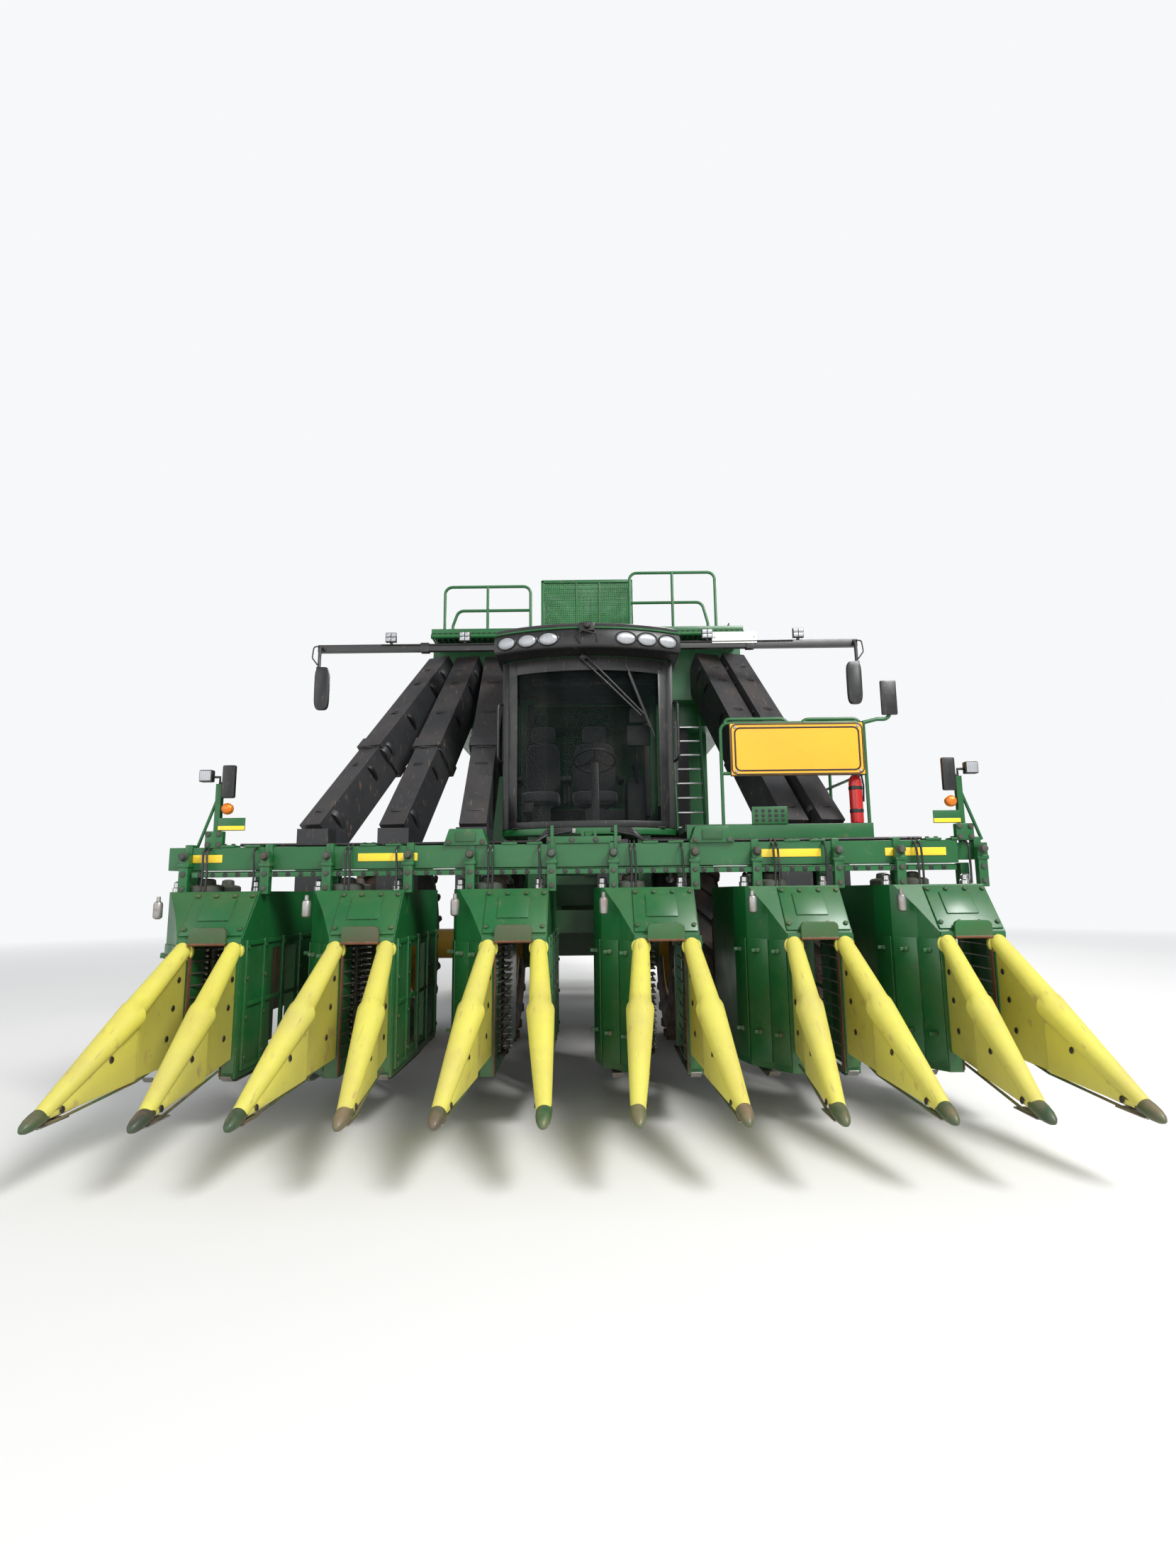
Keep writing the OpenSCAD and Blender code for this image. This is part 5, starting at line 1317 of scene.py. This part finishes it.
@dataclass
class PlatformDetails:
    """The platform's fascia, rails, blank sign, extinguisher and spare mirror."""

    rail_x: float = 2400.0
    rail_y: float = -1580.0
    rail_z: float = 2932.0

    def build(self) -> None:
        """Makes the platform's pieces."""
        plate, sign = Shape("platform_fascia", Finish.GREEN), Shape("sign_frame", Finish.BLACK_PLASTIC)
        plate.boxes((1387, -1622, 2046, 1690, -1602, 2196, 4), (830, -1612, 1880, 2416, -1598, 2046, 4))
        for x in range(1425, 1650, 56):
            for z in (2080, 2120, 2160):
                plate.lathe(((15, 0), (15, 3), (2, 3.4)), (x, -1622, z), FRONT, 14, Finish.BLACK_PLASTIC)
        x0, x1, z0, z1 = 1230, 2375, 2470, 2920
        for inset, r in ((7, 7.0), (38, 10.0)):
            ring = self.rounded(x0 + inset, x1 - inset, z0 + inset, z1 - inset, 46)
            sign.tube([(a, SIGN_FACE + r * 0.6, b) for a, b in ring + ring[:1]], r, 6)
        sign.boxes((x0 - 6, -1596, z0 - 8, x1 + 6, -1589, z1 + 8, 2), finish=Finish.BLACK_PAINT)
        plate.done()
        sign.done()
        corners = [((x, SIGN_FACE + 1.7, z), FRONT) for x in (1270, 2335) for z in (2500, 2890)]
        studs("sign_screws", corners, 9, 5, sides=12)
        self.rails()
        self.extinguisher()

    @staticmethod
    def rounded(x0: float, x1: float, z0: float, z1: float, r: float) -> list[Pair]:
        """Points of a rounded rectangle."""
        centres = ((x1 - r, z1 - r, 0), (x0 + r, z1 - r, 90), (x0 + r, z0 + r, 180), (x1 - r, z0 + r, 270))
        return [(x + r * math.cos(a), z + r * math.sin(a)) for x, z, start in centres
                for a in (math.radians(start + 15 * k) for k in range(7))]

    def rails(self) -> None:
        """The bent rails, the guard over the sign, and the third mirror on its arm."""
        x, y, z, end = self.rail_x, self.rail_y, self.rail_z, 995
        runs = [[(1150, y, 2050), (1150, y, z), (x, y, z), (x, end, z), (x, end, 2050)],
                [(1150, y, 2490), (x, y, 2490), (x, end, 2490)],
                [(1190, y, z), (1190, y, 2968), (1700, y, 2968), (1740, y, z)],
                [(1860, y, z), (1890, y, 2962), (2330, y, 2962), (2360, y, z)]]
        runs += [[(x, post, 2050), (x, post, 2930)] for post in (-1570, -600, 400)]
        pipes("platform_railing", runs, 15, Finish.GREEN, bend=70, replaces=("platform_rails",))
        arm = ((x, 2930), (2520, 2960), (2640, 2960), (2640, 3200))
        pipes("side_mirror_arm", [[(a, -1560, b) for a, b in arm]], 18, Finish.GREEN)
        case = Shape("side_mirror_case", Finish.BLACK_PLASTIC)
        case.boxes((2560, -1600, 2990, 2700, -1570, 3300, 20))
        case.boxes((2572, -1569, 3004, 2688, -1567, 3286, 1), finish=Finish.MIRROR)
        case.done()

    def extinguisher(self) -> None:
        """The fire extinguisher in its straps."""
        tin = Shape("extinguisher_bottle", Finish.RED_PAINT)
        x, y = 2320, -1505
        tin.lathe(((30, 2052), (52, 2056), (55, 2070), (55, 2400), (50, 2440), (34, 2470), (20, 2482),
                   (20, 2500)), (x, y, 0), sides=36)
        for z in (2160, 2360):
            tin.lathe(((55.5, z - 16), (58, z - 14), (58, z + 14), (55.5, z + 16)), (x, y, 0), UP, 36,
                      Finish.BLACK_PLASTIC)
        tin.lathe(((18, 2498), (22, 2504), (22, 2536), (12, 2544)), (x, y, 0), UP, 20, Finish.BRIGHT)
        tin.lathe(((13, 0), (14, 4), (14, 10), (4, 12)), (x + 4, y - 18, 2518), FRONT, 16, Finish.BRIGHT)
        for z, dx, tip in ((2540, 60, 2566), (2534, 58, 2528)):
            tin.tube([(x - 6, y, z), (x - dx, y - 6, tip)], [7, 5], 8, Finish.BLACK_PAINT)
        tin.tube([(x + 10, y, 2524), (x + 52, y - 10, 2500), (x + 66, y - 16, 2380),
                  (x + 58, y - 18, 2240)], 8, 10, Finish.BLACK_PLASTIC)
        tin.done(Body.CHASSIS, ("fire_extinguisher",), "red_paint")


# ---- Bars, ladders, roof and rear


@dataclass
class MirrorBar:
    """The bar across the cab's top with mirrors, lamps and the blank plate."""

    z: float = 4040.0
    y: float = -420.0
    half: float = 2820.0

    def build(self) -> None:
        """Makes the bar's pieces."""
        parts = Shape("mirror_bar_parts", Finish.BLACK_PAINT)
        lens = Shape("bar_lamp_lenses", Finish.CLEAR_LENS)
        at = (0, self.y, self.z)
        parts.boxes((-self.half, -30, -40, self.half, 30, 40, 8), at=at)
        runs = []
        for side in SIDES:
            parts.boxes((560, -30, -95, 620, 30, -38, 5), (575, -38, -50, 665, 38, 50, 6),
                        (1655, -38, -50, 1745, 38, 50, 6), at=at, side=side)
            self.mirror(parts, side)
            runs += [[(side * x, self.y + y, self.z + z) for x, y, z in line] for line in (
                ((2780, -12, 30), (2848, -60, 10), (2850, -90, -120), (2790, -100, -200)),
                ((700, -36, 30), (1250, -36, 24), (2150, -36, 30)))]
        for x in (-2050, -1280, 1250, 2200):
            self.lamp(parts, lens, x)
        parts.boxes((1300, -40, 4, 1770, -34, 128, 2), at=at, finish=Finish.WHITE_PLASTIC)
        for x in (1330, 1740):
            parts.lathe(((9, 0), (9, 3), (3, 5)), (x, self.y - 40, self.z + 70), FRONT, 12, Finish.STEEL)
        parts.done(Body.CHASSIS, ("mirror_bar",))
        lens.done(slot="lamp_lens")
        pipes("mirror_bar_leads", runs, 7, Finish.BLACK_PLASTIC, bend=40, sides=8)

    def mirror(self, parts: Shape, side: int) -> None:
        """Adds one hanging mirror."""
        x, arm, y = side * (self.half - 85), side * (self.half - 40), self.y - 95
        parts.tube([(arm, y + 75, self.z + 20), (arm, y + 25, self.z - 20), (arm, y + 18, self.z - 230)], 17)
        parts.boxes((-24, -2, -300, 24, 34, -215, 8), at=(arm, y, self.z), finish=Finish.BLACK_PLASTIC)
        parts.loft([[(x + 75 * grow * squared(c), y + h, self.z - 450 + 228 * grow * squared(s, 0.4))
                     for c, s in around(32)]
                    for h, grow in ((-26, 0.84), (-20, 0.97), (-6, 1.0), (16, 1.0), (18, 0.96))],
                   finish=Finish.BLACK_PLASTIC)
        parts.boxes((-62, 18, -650, 62, 20, -380, 1), (-62, 18, -365, 62, 20, -250, 1), at=(x, y, self.z),
                    finish=Finish.MIRROR)

    def lamp(self, parts: Shape, lens: Shape, x: float) -> None:
        """Adds one square lamp with four lenses and cooling fins."""
        at = (x, self.y - 20, self.z + 105)
        parts.boxes((-58, -36, -52, 58, -4, 52, 8), (-14, -20, -67, 14, 10, -50, 3),
                    *((k - 50, -4, -46, k - 42, 18, 46, 1) for k in range(0, 115, 23)), at=at)
        lens.boxes(*((dx - 23, -42, dz - 20, dx + 23, -35, dz + 20, 4)
                     for dx in (-27, 27) for dz in (-24, 24)), at=at)


@dataclass
class Ladders:
    """The roof ladder beside the cab, and the ladder up from the ground."""

    foot: Pair = (1150.0, 452.0)
    head: Pair = (1580.0, 1988.0)

    def build(self) -> None:
        """Makes both ladders."""
        runs = [[(x, -25, 2052), (x, 190, 3290), (x, 214, 3420), (x, 330, 3470)] for x in (940, 1240)]
        runs.append([(940, 190, 3270), (860, 140, 3262), (812, 130, 3260)])
        pipes("roof_ladder_stiles", runs, 17, Finish.GREEN, bend=70, replaces=("ladders",))
        rungs = Shape("ladder_rungs", Finish.BRIGHT)
        for z in range(2160, 3300, 162):
            rungs.boxes((950, -26, -9, 1230, 14, 9, 4), at=(0, (z - 2050) * 220 / 1250 - 25, z))
        foot, head = Vector(self.foot), Vector(self.head)
        rise = head - foot
        across = Vector((rise.y, -rise.x)).normalized() * 26
        for x in (2164, 2346):
            rungs.prism([foot - across, foot + across, head + across, head - across], "x", x - 13, x + 13, 5,
                        Finish.GREEN)
        for z in range(500, 2100, 320):
            rungs.boxes((2168, -40, -12, 2342, 60, 12, 4), at=(0, foot.x + (z - foot.y) * rise.x / rise.y, z),
                        finish=Finish.DARK_GREEN)
        rungs.done()
        rail = ((1640, 1990), (1640, 2900), (1500, 2960), (1180, 2500), (1200, 1992))
        pipes("ground_ladder_rails", [[(2160, y, z) for y, z in rail]], 14, Finish.GREEN, bend=90)


@dataclass
class RoofTop:
    """Walkway edge, handrails, curved screens and the raised screen box."""

    walk_z: float = 4300.0
    top: float = 4970.0

    def build(self) -> None:
        """Makes what is on the roof."""
        parts = Shape("roof_fittings", Finish.GREEN)
        parts.tube([(-1700, -152, 4262), (1700, -152, 4262)], 26, 14)
        parts.boxes((-1700, -146, 4302, 1700, -128, 4350, 4), (-1703, 600, 4380, -1687, 2600, 4660, 4),
                    (1687, 600, 4380, 1703, 2600, 4660, 4))
        self.curved(parts)
        self.screen_box(parts)
        parts.done(slot="green_paint")
        self.rails()
        deck = Shape("walkway_deck_plate", Finish.MESH_DARK)
        deck.boxes((-1700, -150, 4250, 1700, 600, 4300, 0))
        deck.done()
        for name, x in (("left", -1640), ("right", 530)):
            bars(f"walkway_comb_{name}", (x, -60, 4240), (62, 0, 0), 19, (14, 150, 20), Finish.DARK_GREEN)

    def curved(self, parts: Shape) -> None:
        """Ribs and edge frames over the quarter-round screens."""
        arc = [(840 - 244 * c, 4400 + 244 * s) for c, s in around(40)[:11]] + [(2590, 4644)]
        for side in SIDES:
            for x in (520, 900, 1280, 1652):
                parts.tube([(side * x, y, z) for y, z in arc], 13, 8)
            for z, y in ((4408, 592), (4520, 628), (4646, 900), (4646, 1400), (4646, 2000)):
                parts.tube([(side * 520, y, z), (side * 1655, y, z)], 10, 8)
            parts.boxes(*((x - 40, 598, 4440, x + 40, 612, 4464, 4) for x in (708, 1090, 1466)), side=side,
                        finish=Finish.STEEL)

    def screen_box(self, parts: Shape) -> None:
        """The raised box: its frame, posts, braces and the rusty dome inside the mesh."""
        top, rows = self.top, []
        for x in (-500, 500):
            rows += [(x - 16, y - 12, 4302, x + 16, y + 20, top + 4, 4) for y in (60, 980, 1900)]
            rows.append((x - 16, 60, top - 20, x + 16, 1900, top + 12, 4))
        for y in (48, 1892):
            rows += [(-512, y, top - 22, 512, y + 26, top + 12, 4), (-512, y, 4302, 512, y + 24, 4352, 4)]
        parts.boxes(*rows, *((x - 9, 50, 4340, x + 9, 66, top, 2) for x in (-120, 140)))
        parts.lathe(((300, 0), (298, 60), (270, 180), (220, 260), (130, 320), (8, 344)), (140, 560, 4420),
                    finish=Finish.RUSTY)
        parts.boxes(*((x - 8, 100, 4320, x + 8, 112, 4470, 0) for x in range(-460, 480, 43)),
                    finish=Finish.DARK_GREEN)

    def rails(self) -> None:
        """The bent handrails."""
        y, base = -125, self.walk_z
        runs = []
        for start, end, height in ((-620, -1560, 550), (470, 1410, 690)):
            top, mid = base + height - 15, base + 0.5 * height - 15
            near = end - 90 if end > 0 else end + 90
            turn = end - 150 if end > 0 else end + 150
            middle = (start + end) / 2
            runs += [[(min(start, end), y, base), (min(start, end), y, top), (max(start, end), y, top),
                      (max(start, end), y, base)],
                     [(start, y, mid), (turn, y, mid), (near, y, base + 90), (near, y, base)],
                     [(middle, y, base), (middle, y, top)]]
        pipes("roof_handrails", runs, 16, Finish.GREEN, bend=80, replaces=("walkway",))


@dataclass
class Wheels:
    """Rings of nuts on the wheels and on their hub caps."""

    def build(self) -> None:
        """Makes each wheel's nuts and its hub cap's screws."""
        front, rear = (2000, 0, 975, 210, 120), (1500, 3900, 765, 150, 60)
        for name, body, side, (x, y, axle, circle, cap) in (
                ("front_left", Body.WHEELS_LEFT, 1, front), ("front_right", Body.WHEELS_RIGHT, -1, front),
                ("rear_left", Body.REAR_LEFT, 1, rear), ("rear_right", Body.REAR_RIGHT, -1, rear)):
            heads = [((side * (x + out), y + radius * c, axle + radius * s), (side, 0, 0))
                     for count, radius, out in ((10, circle, 12), (6, 0.38 * circle, cap))
                     for c, s in around(count, 0.5)]
            studs(f"wheel_nuts_{name}", heads, 17, 20, body=body)


@dataclass
class Rear:
    """Tail lamps, exhaust, ribs and frames at the machine's back and sides."""

    half: float = 1300.0
    pivot: Pair = (3900.0, 2900.0)
    radius: float = 1270.0
    screens: float = 1660.0

    def build(self) -> None:
        """Makes the rear pieces."""
        lamps = Shape("rear_lamps_and_exhaust", Finish.BLACK_PLASTIC)
        ribs, heads = Shape("chamber_ribs", Finish.GREEN), []
        frames = Shape("accumulator_frames", Finish.GREEN)
        mesh = Shape("accumulator_screens", Finish.DARK_GREEN)
        for side in SIDES:
            lamps.boxes((1120, 3700, 4180, 1240, 3740, 4300, 6), side=side)
            lamps.boxes((1132, 3738, 4190, 1228, 3746, 4240, 4), side=side, finish=Finish.RED_LENS)
            lamps.boxes((1132, 3738, 4246, 1228, 3746, 4290, 4), side=side, finish=Finish.AMBER_LENS)
            wall, rim = self.half + 1, (1664, 4136)
            ribs.boxes(*((0, y - 24, 1700, 10, y + 24, 4120, 6) for y in (2700, 3000, 3300, 3600)),
                       *((0, 2640, z - 22, 12, 3860, z + 22, 3) for z in rim), at=(side * wall, 0, 0), side=side)
            heads += [((side * (wall + 12), y, z), (side, 0, 0)) for z in rim for y in range(2690, 3900, 125)]
            at = (side * self.screens, 0, 0)
            frames.boxes(*((0, 604, z - 20, 14, 2596, z + 20, 3) for z in (3424, 3860, 4376)),
                         *((0, y - 20, 3404, 14, y + 20, 4396, 3) for y in (624, 1110, 1600, 2090, 2576)),
                         at=at, side=side)
            mesh.boxes((0, 640, 3880, 5, 2560, 4356, 0), at=at, side=side)
        lamps.tube([(-1150, 2620, 4160), (-1150, 2620, 4520), (-1150, 2660, 4600)], 62, 24, Finish.RUSTY)
        lamps.lathe(((70, 0), (82, 20), (82, 260), (70, 280)), (-1150, 2620, 4172), UP, 28, Finish.STEEL)
        for shape in (lamps, ribs, mesh):
            shape.done()
        frames.done(slot="green_paint")
        studs("chamber_bolts", heads, 12, 9)
        self.gate()

    def gate(self) -> None:
        """Rolled ribs round the gate's back, edge tubes and corner bolts."""
        ribs = Shape("gate_ribs", Finish.GREEN)
        cy, cz = self.pivot
        heads: Spots = []
        arc = [(math.cos(a), math.sin(a)) for a in (math.radians(-78 + 156 * k / 26) for k in range(27))]
        low, high = self.radius - 2, self.radius + 22
        section = ((-30, low), (-22, high), (22, high), (30, low))
        for x in (-1000, -500, 0, 500, 1000):
            ribs.loft([[(x + dx, cy + r * c, cz + r * s) for dx, r in section] for c, s in arc], 2)
        for side in SIDES:
            x = side * self.half
            ribs.tube([(x, cy + 1225 * c, cz + 1225 * s) for c, s in arc], 17, 10)
            heads += [((x + side * 2, cy + 1160 * c, cz + 1160 * s), (side, 0, 0)) for c, s in arc[1::3]]
            ribs.boxes((0, 60, -40, 10, 1080, 40, 3), (0, 520, -900, 10, 600, 900, 3), at=(x, cy, cz),
                       side=side)
        ribs.done(Body.GATE, slot="green_paint")
        studs("gate_bolts", heads, 12, 9, body=Body.GATE)


# ---- Stage, light, camera


@dataclass
class Studio:
    """A pale level floor, soft lamps and the photo's camera."""

    haze: tuple[float, ...] = (0.93, 0.94, 0.95, 1.0)

    def floor(self) -> None:
        """Makes the floor, which fades into the bright surround far from the machine."""
        circle, radii = around(96), (0.0, 6.0, 12.0, 25.0, 60.0, 150.0, 600.0)
        sides = len(circle)
        points = [(r * c, r * s, -0.001) for r in radii for c, s in circle]
        faces = [(near + k, far + k, far + (k + 1) % sides, near + (k + 1) % sides)
                 for near, far in ((i * sides, (i + 1) * sides) for i in range(len(radii) - 1))
                 for k in range(sides)]
        data = bpy.data.meshes.new("studio_floor")
        data.from_pydata(points, [], faces)
        n = Nodes("studio_floor")
        n.set("Base Color", n.mix(n.noise(0.4, 3.0), (0.70, 0.69, 0.67), (0.74, 0.73, 0.71)))
        n.roughness(n.noise(0.9), 0.1, 0.75)
        far = n.add("ShaderNodeVectorMath", {0: n.object}, "Value", operation="LENGTH")
        glow = n.add("ShaderNodeEmission", {"Color": self.haze, "Strength": 1.0})
        mixed = n.add("ShaderNodeMixShader", {0: n.ramp(far, 7.0, 26.0), 1: n.shader.outputs[0], 2: glow})
        n.tree.links.new(mixed, n.tree.nodes["Material Output"].inputs["Surface"])
        data.materials.append(n.material)
        linked("studio_floor", data)

    def lamps(self) -> None:
        """Adds a key from high at the right, a broad fill, a front light and a back light."""
        for name, place, target, size, power in (
                ("key_light", (9.5, -13.0, 14.0), (0.0, 0.0, 1.5), 6.0, 3900.0),
                ("fill_light", (-13.0, -12.0, 7.0), (0.0, 0.0, 2.0), 12.0, 900.0),
                ("front_light", (0.0, -20.0, 4.0), (0.0, -4.0, 1.0), 12.0, 700.0),
                ("back_light", (5.0, 14.0, 12.0), (0.0, 2.0, 2.0), 8.0, 1900.0)):
            lamp = bpy.data.lights.new(name, "AREA")
            lamp.energy, lamp.size = power, size
            made = linked(name, lamp)
            made.location = place
            made.rotation_euler = (Vector(target) - Vector(place)).to_track_quat("-Z", "Y").to_euler()

    def world(self) -> None:
        """Sets a pale, even surrounding light, with a brighter backdrop for the camera."""
        world = bpy.data.worlds.new("studio_world")
        world.use_nodes = True
        tree = world.node_tree
        back = tree.nodes["Background"]
        back.inputs["Color"].default_value = (0.86, 0.90, 0.96, 1.0)
        back.inputs["Strength"].default_value = 0.50
        seen = add_node(tree, "ShaderNodeBackground", {"Color": self.haze, "Strength": 1.0})
        path = add_node(tree, "ShaderNodeLightPath")
        mixed = add_node(tree, "ShaderNodeMixShader", {
            0: path.outputs["Is Camera Ray"], 1: back.outputs[0], 2: seen.outputs[0]})
        tree.links.new(mixed.outputs[0], tree.nodes["World Output"].inputs["Surface"])
        bpy.context.scene.world = world

    def camera(self) -> None:
        """Sets the photo's camera: low in front of the middle, looking up a little with a wide lens."""
        data = bpy.data.cameras.new("photo_camera")
        data.lens, data.sensor_width, data.clip_end = 17.0, 36.0, 900.0
        made = linked("photo_camera", data)
        made.location = (0.09, -8.795, 1.491)
        made.rotation_euler = [math.radians(a) for a in (98.3, 0.6, 0.27)]
        bpy.context.scene.camera = made

    def build(self) -> None:
        """Sets up the whole studio."""
        self.floor()
        self.lamps()
        self.world()
        self.camera()
        bpy.context.scene.view_settings.view_transform = "Standard"


SLOT_FINISH: dict[str, Finish] = {
    "green_paint": Finish.GREEN, "dark_green_paint": Finish.DARK_GREEN, "yellow_plastic": Finish.YELLOW_PLASTIC,
    "yellow_paint": Finish.YELLOW_PAINT, "black_paint": Finish.BLACK_PAINT, "duct_plastic": Finish.DUCT_PLASTIC,
    "black_plastic": Finish.BLACK_PLASTIC, "engine_iron": Finish.CAST, "bare_steel": Finish.STEEL,
    "chromed_rod": Finish.CHROME, "tyre_rubber": Finish.RUBBER, "cab_glazing": Finish.GLASS,
    "seat_cloth": Finish.SEAT, "lamp_lens": Finish.CLEAR_LENS, "amber_sign": Finish.AMBER_SHEET,
    "red_paint": Finish.RED_PAINT, "screen_mesh": Finish.MESH_GREEN}
NODE_FINISH: dict[str, Finish] = {"platform": Finish.BLACK_PAINT, "sign_board": Finish.AMBER_SHEET}


def dress_nodes(frame: dict) -> None:
    """Gives every CAD node that stays in view a finish in place of its flat colour.
    """
    slots = {part["node"]: part["material_slot"] for part in frame["record"]["subparts"]}
    for name, made in frame["nodes"].items():
        finish = NODE_FINISH.get(name) or SLOT_FINISH.get(slots.get(name, ""), Finish.GREEN)
        materials = made.data.materials
        if not materials:
            materials.append(finish.material())
        for index in range(len(materials)):
            materials[index] = finish.material()
        LOG.info("node %s: %s", name, finish.value.name)


PIECES: tuple[type, ...] = (Dividers, UnitFronts, Toolbar, Drums, CabShell, CabRoof, CabInside, Ducts,
                            PlatformDetails, MirrorBar, Ladders, RoofTop, Wheels, Rear)


def main() -> None:
    """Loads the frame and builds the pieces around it."""
    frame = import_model()
    dress_nodes(frame)
    for piece in PIECES:
        piece().build()
    Studio().build()


if __name__ == "__main__":
    main()
